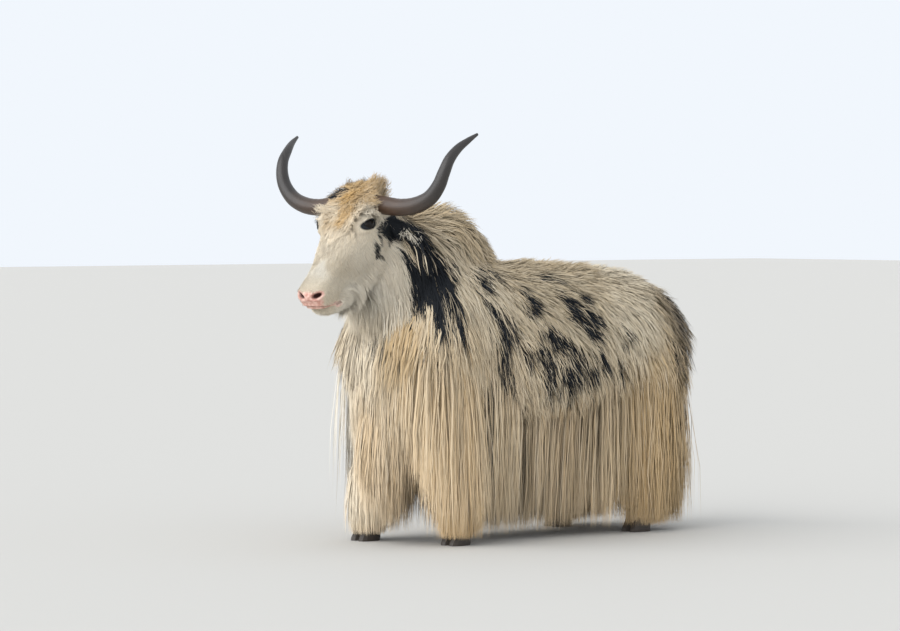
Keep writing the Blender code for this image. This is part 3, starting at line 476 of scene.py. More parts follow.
def wholeSkin():
    head = headFlesh(skullPlan)
    stage("head flesh")
    surface = treeOf(head)
    bm = bmesh.new()
    bm.from_mesh(head.data)
    bm.normal_update()
    shapeMouth(bm, surface)
    for side in (1, -1):
        along, across, above = nostrilPlan["place"]
        place = surface.find_nearest(onHead(along, side * across, above))[0]
        bm.normal_update()
        slant = (headAcross * side * 0.80 + headUp * 0.10 - headAlong * 0.35).normalized()
        outward = surface.find_nearest(place)[1]
        slant = (slant - outward * slant.dot(outward)).normalized()
        pits.append((place, slant, outward.cross(slant)))
        pressed(bm, place, slant, outward.cross(slant), nostrilPlan)
    bm.normal_update()
    shapeLids(bm)
    bmesh.ops.triangulate(bm, faces=bm.faces)
    bm.to_mesh(head.data)
    bm.free()
    body = bodyFlesh(bodyPlan)
    stage("body flesh")
    skin = combined(body, head, "UNION")
    bm = bmesh.new()
    bm.from_mesh(skin.data)
    seam = [vert for vert in bm.verts
            if vert.co.x > 0.5 and abs((vert.co - onHead(-0.02, 0, -0.05)).dot(headFacing)) < 0.06
            and (vert.co - onHead(eyePlan["along"], eyePlan["across"], eyePlan["above"])).length > 0.07
            and (vert.co - earPath(1)[8][0]).length > 0.10 and (vert.co - earPath(-1)[8][0]).length > 0.10]
    for _ in range(4):
        bmesh.ops.smooth_vert(bm, verts=seam, factor=0.5, use_axis_x=True, use_axis_y=True, use_axis_z=True)
    bmesh.ops.triangulate(bm, faces=bm.faces)
    bm.to_mesh(skin.data)
    bm.free()
    skin.name = "skin"
    skin.data.shade_smooth()
    return skin


skin = wholeSkin()
stage(f"skin, {len(skin.data.polygons)} triangles")


def unwrapped(piece):
    # one unwrap of the skin's own shape, which every tuft takes its patch from
    bpy.ops.object.select_all(action="DESELECT")
    piece.select_set(True)
    bpy.context.view_layer.objects.active = piece
    piece.data.uv_layers.new(name="OFBake")
    bpy.ops.object.mode_set(mode="EDIT")
    bpy.ops.mesh.select_all(action="SELECT")
    bpy.ops.uv.smart_project(angle_limit=math.radians(70), island_margin=0.002)
    bpy.ops.object.mode_set(mode="OBJECT")


unwrapped(skin)
stage("skin unwrapped")


def asArray(vectors):
    return np.array([tuple(v) for v in vectors], float)


def unit(rows):
    return rows / np.maximum(np.linalg.norm(rows, axis=-1, keepdims=True), 1e-9)


def ripple(points, size, seed):
    # smooth noise, mostly within -1 and 1, with features of about that size in metres
    draw = np.random.default_rng(seed)
    waves = unit(draw.normal(size=(12, 3))) * (2 * math.pi / size) * draw.uniform(0.45, 1.3, (12, 1))
    return np.sin(points @ waves.T + draw.uniform(0, 2 * math.pi, 12)).sum(1) / 3.2


def rippleVector(points, size, seed):
    return np.stack([ripple(points, size, seed + i) for i in range(3)], 1)


def smoothStep(low, high, values):
    t = np.clip((values - low) / (high - low), 0, 1)
    return t * t * (3 - 2 * t)


def blendAt(points, places, values, sharp):
    # values of the nearest named places, blended by distance
    squares = ((points**2).sum(1)[:, None] + (places**2).sum(1)[None] - 2 * points @ places.T)
    weights = np.maximum(squares, 1e-5) ** -sharp
    return (weights / weights.sum(1, keepdims=True)) @ values


headBasis = asArray((headAlong, headAcross, headUp))
pollPlace = np.array(headPlan["poll"])


def headPlace(points):
    return (points - pollPlace) @ headBasis.T


def bothSides(rows, head=False):
    # comb rows of the left side with their mirror images, as (places, values)
    places, values = [], []
    for row in rows:
        place, lie = np.array(row[1], float), np.array(row[2], float)
        for side in ((1, -1) if abs(place[1]) > 1e-6 and row[0] != "topTuft" else (1,)):
            mirror = np.array([1, side, 1])
            spot, run = place * mirror, unit(lie * mirror)
            if head:
                spot, run = pollPlace + spot @ headBasis, run @ headBasis
            places.append(spot)
            values.append(np.concatenate([run, row[3:]]))
    return np.array(places), np.array(values)


# How the coat is combed: name, place, lie, length, lift, droop, curl, mess
shagComb = [
    ("throat", (0.66, 0.03, 1.02), (0.25, 0.1, -1), 0.13, 0.3, 0.22, 0.03, 0.3),
    ("throatBase", (0.64, 0.05, 0.92), (0.12, 0.05, -1), 0.17, 0.3, 0.25, 0.03, 0.3),
    ("neckSide", (0.52, 0.16, 1.12), (-0.3, 0.05, -1), 0.16, 0.22, 0.2, 0.04, 0.25),
    ("neckBase", (0.46, 0.2, 0.99), (-0.18, 0.05, -1), 0.19, 0.22, 0.22, 0.03, 0.25),
    ("neckUpper", (0.56, 0.1, 1.24), (-0.5, 0.2, -0.8), 0.11, 0.25, 0.15, 0.05, 0.3),
    ("crest", (0.52, 0.02, 1.29), (-0.9, 0.3, 0), 0.085, 0.65, 0.04, 0.06, 0.35),
    ("humpTop", (0.32, 0.02, 1.3), (-1, 0.25, -0.1), 0.08, 0.65, 0.05, 0.06, 0.4),
    ("humpSide", (0.26, 0.13, 1.2), (-0.6, 0.05, -0.9), 0.1, 0.22, 0.15, 0.05, 0.35),
    ("humpBack", (0.1, 0.04, 1.17), (-1, 0.25, -0.5), 0.085, 0.55, 0.08, 0.05, 0.35),
    ("shoulderTop", (0.25, 0.2, 1.04), (-0.45, 0.05, -1), 0.13, 0.2, 0.18, 0.05, 0.3),
    ("shoulder", (0.3, 0.26, 0.92), (-0.22, 0.05, -1), 0.17, 0.2, 0.2, 0.03, 0.25),
    ("shoulderFront", (0.5, 0.22, 0.92), (0.26, -0.2, -1), 0.19, 0.22, 0.22, 0.03, 0.25),
    ("chest", (0.63, 0.06, 0.84), (0.16, -0.02, -1), 0.2, 0.25, 0.25, 0.03, 0.3),
    ("chestMiddle", (0.63, 0, 0.8), (0.05, 0, -1), 0.2, 0.25, 0.25, 0.03, 0.3),
    ("elbow", (0.2, 0.29, 0.76), (-0.25, 0, -1), 0.16, 0.2, 0.22, 0.03, 0.25),
    ("backFront", (0, 0.03, 1.09), (-0.85, 0.4, -0.15), 0.078, 0.62, 0.06, 0.06, 0.45),
    ("backMiddle", (-0.25, 0.03, 1.07), (-0.85, 0.4, -0.15), 0.078, 0.65, 0.06, 0.06, 0.45),
    ("croup", (-0.55, 0.03, 1.04), (-0.9, 0.4, -0.25), 0.082, 0.6, 0.06, 0.06, 0.45),
    ("upperFlank", (-0.12, 0.22, 0.98), (-0.7, 0.2, -0.75), 0.085, 0.34, 0.1, 0.05, 0.4),
    ("upperHip", (-0.45, 0.2, 0.97), (-0.72, 0.2, -0.7), 0.085, 0.34, 0.1, 0.05, 0.4),
    ("flankFront", (0.06, 0.29, 0.84), (-0.6, 0.05, -0.85), 0.095, 0.26, 0.12, 0.05, 0.4),
    ("flank", (-0.2, 0.31, 0.82), (-0.62, 0.05, -0.82), 0.095, 0.26, 0.12, 0.05, 0.4),
    ("flankLow", (-0.15, 0.3, 0.66), (-0.3, 0.05, -1), 0.13, 0.36, 0.14, 0.05, 0.35),
    ("flankLowFront", (0.08, 0.27, 0.63), (-0.3, 0.05, -1), 0.13, 0.36, 0.14, 0.05, 0.35),
    ("hip", (-0.55, 0.25, 0.85), (-0.55, 0.05, -0.9), 0.11, 0.22, 0.15, 0.04, 0.35),
    ("rumpSide", (-0.72, 0.22, 0.88), (-0.5, 0.05, -0.9), 0.13, 0.36, 0.16, 0.07, 0.55),
    ("rumpBack", (-0.85, 0.1, 0.88), (-0.4, 0.1, -1), 0.14, 0.45, 0.16, 0.07, 0.6),
    ("buttock", (-0.8, 0.18, 0.72), (-0.25, 0.05, -1), 0.18, 0.42, 0.18, 0.07, 0.55),
    ("thigh", (-0.6, 0.28, 0.7), (-0.2, 0.02, -1), 0.17, 0.22, 0.22, 0.04, 0.35),
]
skirtComb = [
    ("brisket", (0.55, 0.03, 0.55), (0.03, 0, -1), 0.36, 0.2, 0.3, 0.02, 0.15),
    ("chestLow", (0.62, 0.08, 0.7), (0.05, 0.02, -1), 0.34, 0.14, 0.34, 0.02, 0.12),
    ("upperArm", (0.42, 0.28, 0.78), (0.05, 0.02, -1), 0.62, 0.16, 0.26, 0.015, 0.12),
    ("forearm", (0.38, 0.26, 0.6), (0, 0.02, -1), 0.52, 0.2, 0.3, 0.015, 0.12),
    ("knee", (0.36, 0.22, 0.36), (0, 0.02, -1), 0.32, 0.35, 0.3, 0.02, 0.15),
    ("cannon", (0.35, 0.22, 0.2), (0, 0.02, -1), 0.16, 0.35, 0.3, 0.02, 0.2),
    ("elbowLow", (0.15, 0.26, 0.6), (-0.05, 0.02, -1), 0.56, 0.18, 0.32, 0.015, 0.12),
    ("bellyEdge", (-0.12, 0.26, 0.56), (-0.05, 0.02, -1), 0.56, 0.18, 0.34, 0.01, 0.1),
    ("bellyUnder", (-0.12, 0.1, 0.48), (-0.02, 0.1, -1), 0.34, 0.3, 0.4, 0.01, 0.12),
    ("stifle", (-0.45, 0.25, 0.58), (0.02, 0.02, -1), 0.56, 0.3, 0.32, 0.015, 0.12),
    ("thighLong", (-0.62, 0.28, 0.72), (-0.06, 0.02, -1), 0.62, 0.18, 0.26, 0.02, 0.18),
    ("gaskin", (-0.68, 0.25, 0.52), (-0.12, 0.04, -1), 0.5, 0.22, 0.3, 0.02, 0.18),
    ("thighBack", (-0.82, 0.18, 0.72), (-0.24, 0.06, -1), 0.6, 0.2, 0.26, 0.03, 0.25),
    ("hock", (-0.68, 0.22, 0.36), (-0.1, 0.04, -1), 0.32, 0.35, 0.3, 0.02, 0.18),
    ("hindCannon", (-0.64, 0.22, 0.2), (0, 0.02, -1), 0.16, 0.35, 0.3, 0.02, 0.2),
    ("tailRoot", (-0.92, 0, 0.84), (-0.1, 0, -1), 0.58, 0.1, 0.4, 0.03, 0.2),
    ("tailMiddle", (-0.94, 0, 0.66), (-0.05, 0, -1), 0.56, 0.12, 0.4, 0.03, 0.2),
    ("tailEnd", (-0.93, 0, 0.5), (-0.03, 0, -1), 0.4, 0.18, 0.4, 0.03, 0.2),
]
# On the head the places and lies are along the face, across it and out of it
faceComb = [
    ("nose", (0.44, 0, 0.02), (0.7, 0, 0.1), 0.007, 0.25, 0, 0, 0.15),
    ("bridge", (0.33, 0.02, 0.02), (1, 0.15, 0), 0.012, 0.25, 0, 0, 0.15),
    ("bridgeSide", (0.34, 0.06, -0.01), (0.7, 0.2, -0.8), 0.013, 0.25, 0, 0, 0.15),
    ("muzzleSide", (0.4, 0.065, -0.05), (0.2, 0, -1), 0.012, 0.22, 0, 0, 0.15),
    ("lipSide", (0.42, 0.05, -0.1), (-0.3, 0, -1), 0.014, 0.3, 0.05, 0, 0.2),
    ("chin", (0.38, 0.02, -0.13), (-0.5, 0, -0.7), 0.03, 0.4, 0.2, 0.02, 0.25),
    ("faceMiddle", (0.22, 0, 0.04), (1, 0, 0), 0.024, 0.25, 0.02, 0.03, 0.2),
    ("faceSide", (0.24, 0.07, 0.02), (0.8, 0.2, -0.6), 0.018, 0.25, 0, 0, 0.15),
    ("cheekFront", (0.26, 0.08, -0.05), (0.1, 0.1, -1), 0.02, 0.22, 0.05, 0, 0.15),
    ("cheek", (0.17, 0.11, -0.07), (-0.02, 0.1, -1), 0.026, 0.22, 0.05, 0.01, 0.18),
    ("cheekLow", (0.2, 0.08, -0.15), (-0.15, 0, -1), 0.06, 0.3, 0.15, 0.02, 0.22),
    ("cheekBack", (0.06, 0.125, -0.08), (-0.25, 0.1, -1), 0.04, 0.25, 0.12, 0.02, 0.25),
    ("jawBack", (0.08, 0.1, -0.19), (0.3, 0, -1), 0.15, 0.35, 0.2, 0.03, 0.25),
    ("jawUnder", (0.18, 0, -0.2), (0.55, 0, -0.9), 0.18, 0.6, 0.3, 0.03, 0.3),
    ("jawFront", (0.29, 0.02, -0.155), (0.55, 0, -0.9), 0.085, 0.5, 0.2, 0.03, 0.25),
    ("brow", (0.08, 0.1, 0.05), (-0.2, 0.5, -0.3), 0.013, 0.25, 0, 0.03, 0.2),
    ("browFront", (0.13, 0.07, 0.055), (0.8, -0.2, 0), 0.012, 0.22, 0, 0.02, 0.2),
    ("eyeFront", (0.17, 0.1, 0.015), (0.8, 0.1, -0.4), 0.009, 0.2, 0, 0, 0.15),
    ("eyeBack", (0.07, 0.125, 0), (-0.5, 0.2, -0.7), 0.014, 0.22, 0.03, 0.01, 0.2),
    ("temple", (0.01, 0.12, 0.01), (-0.7, 0.7, -0.5), 0.042, 0.4, 0.05, 0.06, 0.3),
    ("earRoot", (-0.01, 0.12, -0.09), (-0.3, 0.3, -1), 0.05, 0.3, 0.2, 0.03, 0.3),
]
curlComb = [
    ("forelock", (0.1, 0, 0.06), (1, 0, 0), 0.045, 0.16, 0.05, 0.13, 0.5),
    ("forelockSide", (0.06, 0.085, 0.05), (0.25, 1, 0.1), 0.06, 0.35, 0.05, 0.12, 0.5),
    ("pollTop", (0, 0, 0.08), (0.8, 0.2, 0.1), 0.048, 0.45, 0.03, 0.14, 0.6),
    ("pollSide", (0.01, 0.08, 0.055), (0.1, 1, 0.2), 0.072, 0.45, 0.03, 0.09, 0.45),
    ("pollBack", (-0.07, 0.04, 0.03), (-0.8, 0.3, 0.1), 0.05, 0.25, 0.05, 0.12, 0.5),
    ("topTuft", (-0.03, 0.08, 0.06), (-0.9, 0.25, 0.3), 0.068, 0.9, 0, 0.12, 0.3),
    ("faceStreak", (0.19, -0.01, 0.045), (1, 0, 0), 0.055, 0.1, 0.03, 0.05, 0.25),
]

# Colour of the coat: name, place, golden, grey, pale
bodyTones = [
    ("crest", (0.5, 0.05, 1.28), 0.4, 0.3, 0.05), ("hump", (0.28, 0.06, 1.29), 0.38, 0.4, 0),
    ("neck", (0.5, 0.17, 1.12), 0.25, 0.42, 0.04), ("throat", (0.64, 0.05, 1), 0.05, 0, 0.95),
    ("throatLow", (0.62, 0.05, 0.86), 0.3, 0.05, 0.42), ("shoulder", (0.3, 0.26, 0.95), 0.2, 0.38, 0.15),
    ("shoulderLow", (0.38, 0.28, 0.78), 0.4, 0.1, 0.15), ("chest", (0.58, 0.16, 0.8), 0.62, 0.1, 0),
    ("chestRight", (0.58, -0.16, 0.8), 0.2, 0, 0.75), ("forelegRight", (0.52, -0.22, 0.56), 0.1, 0, 0.9),
    ("forelegRightLow", (0.5, -0.22, 0.25), 0.4, 0, 0.45), ("foreleg", (0.4, 0.25, 0.5), 0.62, 0, 0.18),
    ("forelegLow", (0.38, 0.22, 0.2), 0.74, 0, 0.1), ("brisket", (0.55, 0, 0.5), 0.82, 0, 0.3),
    ("backFront", (0, 0.05, 1.09), 0.32, 0.42, 0), ("back", (-0.3, 0.05, 1.08), 0.35, 0.35, 0),
    ("croup", (-0.6, 0.05, 1.02), 0.18, 0.12, 0.25),
    ("upperFlank", (-0.15, 0.24, 0.97), 0.2, 0.45, 0.02),
    ("flank", (-0.15, 0.31, 0.8), 0.18, 0.42, 0.08), ("flankLow", (-0.1, 0.3, 0.62), 0.3, 0.16, 0.2),
    ("hip", (-0.52, 0.26, 0.84), 0.18, 0.02, 0.28), ("belly", (-0.12, 0.26, 0.52), 0.76, 0, 0.26),
    ("thigh", (-0.62, 0.28, 0.66), 0.54, 0.1, 0.1), ("hindleg", (-0.68, 0.25, 0.4), 0.72, 0.1, 0.05),
    ("rump", (-0.8, 0.18, 0.86), 0.6, 1, 0), ("buttock", (-0.82, 0.15, 0.7), 0.5, 0.35, 0),
    ("tail", (-0.94, 0, 0.6), 0.7, 0.45, 0),
]
# On the face the grey on the sides of the bridge, the muzzle and the cheeks is painted shade on white hair
headTones = [
    ("bridge", (0.34, 0, 0.02), 0.02, 0.03, 0.9), ("muzzle", (0.43, 0.05, -0.03), 0.18, 0.38, 0.34),
    ("bridgeSide", (0.31, 0.055, 0), 0.2, 0.42, 0.32),
    ("faceMiddle", (0.265, 0.01, 0.035), 0.35, 0.15, 0.5), ("chin", (0.38, 0, -0.13), 0.1, 0, 0.8),
    ("cheek", (0.2, 0.1, -0.08), 0.18, 0.18, 0.56), ("cheekLow", (0.16, 0.09, -0.17), 0.3, 0.05, 0.6),
    ("jaw", (0.08, 0.08, -0.22), 0.15, 0, 0.9), ("streak", (0.2, 0, 0.05), 0.55, 0, 0.5),
    ("forehead", (0.1, 0, 0.07), 0.9, 0, 0.1), ("foreheadSide", (0.09, 0.07, 0.06), 0.6, 0.05, 0.4),
    ("poll", (0, 0, 0.1), 0.95, 0.1, 0), ("pollSide", (0, 0.09, 0.07), 0.75, 0.1, 0.15),
    ("pollBack", (-0.07, 0.03, 0.05), 0.8, 0.2, 0), ("brow", (0.1, 0.1, 0.03), 0.3, 0.1, 0.6),
    ("temple", (0.03, 0.12, -0.02), 0.2, 0.15, 0.6),
]


def toneRows():
    places, values = [], []
    for rows, head in ((bodyTones, False), (headTones, True)):
        for row in rows:
            for side in ((1, -1) if row[1][1] > 0 else (1,)):
                spot = np.array(row[1]) * (1, side, 1)
                places.append(pollPlace + spot @ headBasis if head else spot)
                values.append(row[2:])
    return np.array(places), np.array(values, float)


tonePlaces, toneValues = toneRows()

# Blue-black patches by side: x, z, half length, half breadth, lean in degrees, strength
leftPatches = [
    # neck
    (0.52, 1.205, 0.075, 0.055, 85, 1), (0.48, 1.095, 0.1, 0.075, 93, 1),
    (0.555, 1.095, 0.095, 0.034, 97, 1), (0.53, 1.02, 0.06, 0.034, 97, 0.95),
    (0.5, 0.985, 0.06, 0.03, 96, 1), (0.47, 1.06, 0.06, 0.04, 92, 1), (0.514, 1.008, 0.05, 0.028, 98, 1),
    (0.545, 0.929, 0.042, 0.012, 105, 0.95), (0.52, 0.941, 0.035, 0.01, 105, 0.9),
    (0.482, 0.926, 0.1, 0.02, 96, 1), (0.41, 1.008, 0.07, 0.034, 84, 1),
    (0.45, 1.02, 0.08, 0.045, 92, 1), (0.398, 0.892, 0.1, 0.011, 88, 0.95),
    (0.427, 0.918, 0.038, 0.01, 90, 0.9), (0.466, 0.848, 0.024, 0.009, 88, 0.8),
    (0.555, 0.799, 0.018, 0.008, 80, 0.8), (0.34, 1.165, 0.03, 0.01, 80, 0.6),
    (0.38, 1.101, 0.048, 0.024, 70, 0.8),
    # shoulder
    (0.139, 1.061, 0.045, 0.026, 62, 1), (0.205, 1.079, 0.018, 0.012, 60, 0.9),
    (0.228, 1.028, 0.034, 0.022, 70, 1), (0.257, 0.963, 0.04, 0.014, 72, 0.85),
    (0.206, 0.923, 0.038, 0.023, 67, 1), (0.183, 0.852, 0.078, 0.034, 75, 0.8),
    (0.21, 0.762, 0.074, 0.026, 73, 0.85), (0.19, 0.661, 0.08, 0.02, 72, 0.75),
    # flank
    (0.03, 0.947, 0.063, 0.034, 66, 1), (-0.102, 1.044, 0.026, 0.012, 50, 0.9),
    (-0.171, 1.021, 0.04, 0.01, 34, 0.95), (-0.255, 0.965, 0.038, 0.023, 40, 1),
    (-0.17, 0.932, 0.048, 0.022, 58, 1), (-0.222, 0.881, 0.11, 0.03, 14, 1),
    (-0.262, 0.829, 0.055, 0.03, 48, 1), (0.009, 0.835, 0.028, 0.014, 45, 0.9),
    (-0.057, 0.803, 0.066, 0.033, 60, 1), (-0.106, 0.786, 0.042, 0.022, 56, 1),
    (-0.155, 0.756, 0.052, 0.02, 67, 0.8), (0.063, 0.745, 0.043, 0.024, 62, 0.75),
    (-0.03, 0.642, 0.077, 0.022, 62, 0.9), (-0.096, 0.675, 0.036, 0.016, 73, 0.9),
    (-0.138, 0.673, 0.056, 0.027, 72, 1), (-0.245, 0.669, 0.069, 0.027, 74, 0.9),
    (-0.309, 0.72, 0.04, 0.022, 50, 0.9), (-0.16, 0.575, 0.039, 0.014, 62, 0.8),
    (-0.193, 0.678, 0.036, 0.016, 61, 0.65), (0, 0.735, 0.075, 0.028, 80, 0.9),
    (-0.15, 0.735, 0.06, 0.036, 40, 0.95), (-0.437, 0.797, 0.036, 0.02, 70, 0.5),
    (-0.412, 0.69, 0.049, 0.026, 66, 0.52),
    # elbow and rump: painted shade in the recess between foreleg and flank, and between the rump's mats
    (0.285, 0.52, 0.08, 0.026, 85, 0.5), (-0.8, 0.9, 0.09, 0.044, 70, 0.5),
    (-0.75, 0.76, 0.12, 0.044, 75, 0.46), (-0.86, 0.76, 0.09, 0.03, 80, 0.35),
    # chest
    (0.64, 0.785, 0.022, 0.012, 80, 0.55), (0.564, 0.796, 0.006, 0.006, 6, 0.6),
    (0.512, 0.744, 0.009, 0.007, 18, 0.6),
]
rightPatches = [
    (0.56, 1.215, 0.06, 0.04, 80, 1), (0.52, 1.14, 0.06, 0.04, 70, 1), (0.45, 1.06, 0.05, 0.03, 60, 0.9),
    (0.21, 1.06, 0.06, 0.03, 50, 1), (0.27, 0.92, 0.07, 0.025, 65, 0.8),
    (0.04, 0.96, 0.07, 0.045, 30, 1), (-0.06, 0.89, 0.06, 0.04, 50, 1),
    (-0.22, 0.985, 0.06, 0.028, 35, 1), (-0.3, 0.88, 0.07, 0.045, 55, 1),
    (-0.15, 0.76, 0.06, 0.03, 60, 0.9), (0.09, 0.78, 0.045, 0.028, 55, 0.8),
    (-0.52, 0.9, 0.06, 0.035, 50, 0.9), (-0.42, 0.72, 0.045, 0.022, 65, 0.7),
    (-0.03, 0.66, 0.04, 0.018, 65, 0.8), (-0.68, 0.82, 0.035, 0.022, 60, 0.7),
]
headPatches = [  # side, along, above, half length, half breadth, lean, strength
    (1, 0.078, -0.032, 0.034, 0.018, -50, 0.66), (1, 0.052, -0.084, 0.064, 0.044, 75, 0.82),
    (1, 0.018, -0.115, 0.075, 0.034, 90, 1), (1, 0.148, -0.104, 0.066, 0.016, -88, 0.68),
    (1, 0.112, -0.066, 0.036, 0.012, -60, 0.6), (1, 0.085, -0.11, 0.036, 0.012, -80, 0.5),
    (-1, -0.02, 0.058, 0.04, 0.012, 0, 0.85), (-1, 0.06, -0.045, 0.04, 0.018, -20, 0.7),
    (-1, 0.02, -0.09, 0.045, 0.03, 60, 0.95),
]


# Hair that falls across a patch narrows it, so the patches are rooted wider, the body's more
patchSpread = dict(neck=1.15, body=1.50, neckFrom=0.42)
# Ears: from which distance to which, in metres, the black round them and the white in the cup fade
earMarks = dict(black=(0.038, 0.046), white=(0.010, 0.020), cup=0.011)


def marksAt(points):
    # how golden, grey, pale and black the coat is at these places
    jitter = rippleVector(points, 0.06, 40) * 0.013 + rippleVector(points, 0.022, 44) * 0.006
    moved = points + jitter
    tones = blendAt(points + rippleVector(points, 0.10, 50) * 0.012, tonePlaces, toneValues, 2.0)
    dark = np.zeros(len(points))
    onFace = headPlace(points + jitter * 0.4)
    ahead = onFace @ np.array([0.682, 0, 0.731])
    for side, rows in ((1, leftPatches), (-1, rightPatches)):
        for x, z, long, broad, lean, strength in rows:
            c, s = math.cos(math.radians(lean)), math.sin(math.radians(lean))
            u = ((moved[:, 0] - x) * c + (moved[:, 2] - z) * s) / long
            spread = patchSpread["body" if x < patchSpread["neckFrom"] else "neck"]
            w = (-(moved[:, 0] - x) * s + (moved[:, 2] - z) * c) / (broad * spread)
            inPatch = strength * (1 - smoothStep(0.60, 1.20, np.hypot(u, w)))
            here = (points[:, 1] * side > 0.015) & (ahead < -0.045)
            dark = np.maximum(dark, np.where(here, inPatch, 0))
    for side, along, above, long, broad, lean, strength in headPatches:
        c, s = math.cos(math.radians(lean)), math.sin(math.radians(lean))
        u = ((onFace[:, 0] - along) * c + (onFace[:, 2] - above) * s) / long
        w = (-(onFace[:, 0] - along) * s + (onFace[:, 2] - above) * c) / broad
        here = (onFace[:, 1] * side > 0.06) & (ahead > -0.085)
        dark = np.maximum(dark, np.where(here, strength * (1 - smoothStep(0.6, 1.2, np.hypot(u, w))), 0))
    for side in (1, -1):
        # the ears are black outside, as far as the white hair in their cups
        path = asArray([row[0] for row in earPath(side)])
        near = np.min(np.linalg.norm(points[:, None, :] - path[None, 3:], axis=2), axis=1)
        dark = np.maximum(dark, 1 - smoothStep(*earMarks["black"], near))
        cup = path[8] + np.array(headFacing * earMarks["cup"] + headAcross * side * earMarks["cup"])
        white = 1 - smoothStep(*earMarks["white"], np.linalg.norm(points - cup, axis=1))
        dark = dark * (1 - white)
        # black rims of the lids
        centre, outward, fore, over = (np.array(v) for v in eyeFrame(side))
        offset = (points - centre) / eyePlan["radius"]
        u, w = offset @ fore + rimPlan["back"], offset @ over + rimPlan["down"]
        long, high = rimPlan["black"]
        rim = 1 - smoothStep(0.85, 1.08, np.hypot(u / long, (w + rimPlan["slant"] * u) / high))
        byEye = (offset @ outward > -0.4) & (np.linalg.norm(offset, axis=1) < 2.6)
        dark = np.maximum(dark, np.where(byEye, rim, 0))
    return np.concatenate([tones, dark[:, None]], 1)


def addField(mesh, name, values):
    kind = "FLOAT_VECTOR" if values.ndim > 1 else "FLOAT"
    field = mesh.attributes.new(name, kind, "POINT")
    key = "vector" if values.ndim > 1 else "value"
    field.data.foreach_set(key, np.ascontiguousarray(values, np.float32).ravel())


def readOut(items, key, width, kind=float):
    values = np.zeros(len(items) * width, kind)
    items.foreach_get(key, values)
    return values.reshape(-1, width)


# The skin as tables, to root the coat on
skinTree = treeOf(skin)
skinMesh = skin.data
skinMesh.calc_loop_triangles()
triCount = len(skinMesh.loop_triangles)
skinVerts = readOut(skinMesh.vertices, "co", 3)
skinNormals = readOut(skinMesh.vertices, "normal", 3)
triVerts = readOut(skinMesh.loop_triangles, "vertices", 3, np.int32)
triLoops = readOut(skinMesh.loop_triangles, "loops", 3, np.int32)
skinUv = readOut(skinMesh.uv_layers["OFBake"].data, "uv", 2)
triCorners = skinVerts[triVerts]
triCentres = triCorners.mean(1)
triAreas = np.linalg.norm(np.cross(triCorners[:, 1] - triCorners[:, 0],
                                   triCorners[:, 2] - triCorners[:, 0]), axis=1) / 2
stage("skin tables")


# Horns: rings that grow shallower up to a station, and a path of across, forward, above, radius
hornPlan = dict(stations=80, sides=28, ring=0.018, every=1.9, ringsTo=34, path=[
    (0.080, 0.012, 0.012, 0.036), (0.140, 0.004, 0.003, 0.035), (0.200, 0.000, -0.002, 0.033),
    (0.267, -0.002, 0.006, 0.0320), (0.328, -0.005, 0.032, 0.0298), (0.370, -0.006, 0.078, 0.0270),
    (0.391, -0.012, 0.129, 0.0242), (0.403, -0.033, 0.180, 0.0210), (0.413, -0.075, 0.222, 0.0170),
    (0.427, -0.120, 0.252, 0.0118), (0.437, -0.167, 0.277, 0.0055)])


def hornPath(side, count):
    return [(headPlan["poll"] + headAcross * side * across + headFacing * forward + up * above, radius)
            for across, forward, above, radius in resampled(hornPlan["path"], count)]


# Bare nose: half width and half height of the pad and how far forward it starts, and how far from the
# mouth's line the lips are pink and the gap between them is painted dark as shade
nosePlan = dict(pad=(0.062, 0.038), low=0.015, padFrom=0.42, mouthFrom=0.34, corner=(0.392, 0.425),
                lips=(0.019, 0.009), gap=(0.0020, 0.0065), nearPit=0.035)


def noseField(points):
    # how pink the nose and lips are, and the painted shade in the nostrils and between the lips
    place = headPlace(points)
    broad, high = nosePlan["pad"]
    pad = np.hypot(place[:, 1] / broad, (place[:, 2] + nosePlan["low"]) / high)
    pad = pad + (place[:, 0] < nosePlan["padFrom"])
    line = asArray(lips[::4])
    mouthAway = np.full(len(points), 1.0)
    near = place[:, 0] > nosePlan["mouthFrom"]
    corner = smoothStep(*nosePlan["corner"], place[:, 0])
    mouthAway[near] = np.min(np.linalg.norm(points[near][:, None] - line[None], axis=2), axis=1)
    pit = np.full(len(points), 9.0)
    long, broad = nostrilPlan["radii"]
    for spot, along, across in pits:
        offset = points - np.array(spot)
        e = np.hypot(offset @ np.array(along) / long, offset @ np.array(across) / broad)
        pit = np.minimum(pit, e + 9.0 * (np.linalg.norm(offset, axis=1) > nosePlan["nearPit"]))
    pad = np.minimum(pad, 0.75 + 0.35 * (pit - 1.0) / 0.9)
    lipPink = (0.30 + 0.55 * corner) * smoothStep(*nosePlan["lips"], mouthAway)
    pink = np.maximum(1 - smoothStep(0.78, 1.12, pad), lipPink)
    # painted shade along the gap between the lips and in the nostrils' pits
    between = 0.8 - 0.8 * smoothStep(*nosePlan["gap"], mouthAway)
    inside = np.maximum(1 - smoothStep(0.62, 1.02, pit), between)
    return [pink, inside]


def bareAt(points):
    # where no hair grows: the eyes, nose, lips, the roots of the horns and the hooves
    bare = np.zeros(len(points), bool)
    long, high = rimPlan["bare"]
    for side in (1, -1):
        centre, outward, fore, over = (np.array(v) for v in eyeFrame(side))
        offset = (points - centre) / eyePlan["radius"]
        u, w = offset @ fore, offset @ over + rimPlan["down"] + rimPlan["slant"] * (offset @ fore)
        inOval = ((u + rimPlan["back"]) / long) ** 2 + (w / high) ** 2 < 1
        bare |= (offset @ outward > -0.3) & inOval
        for place, radius in hornPath(side, 41)[:14]:
            bare |= np.linalg.norm(points - np.array(place), axis=1) < radius + 0.003
    bare |= noseField(points)[0] > 0.35
    bare |= points[:, 2] < 0.075
    return bare


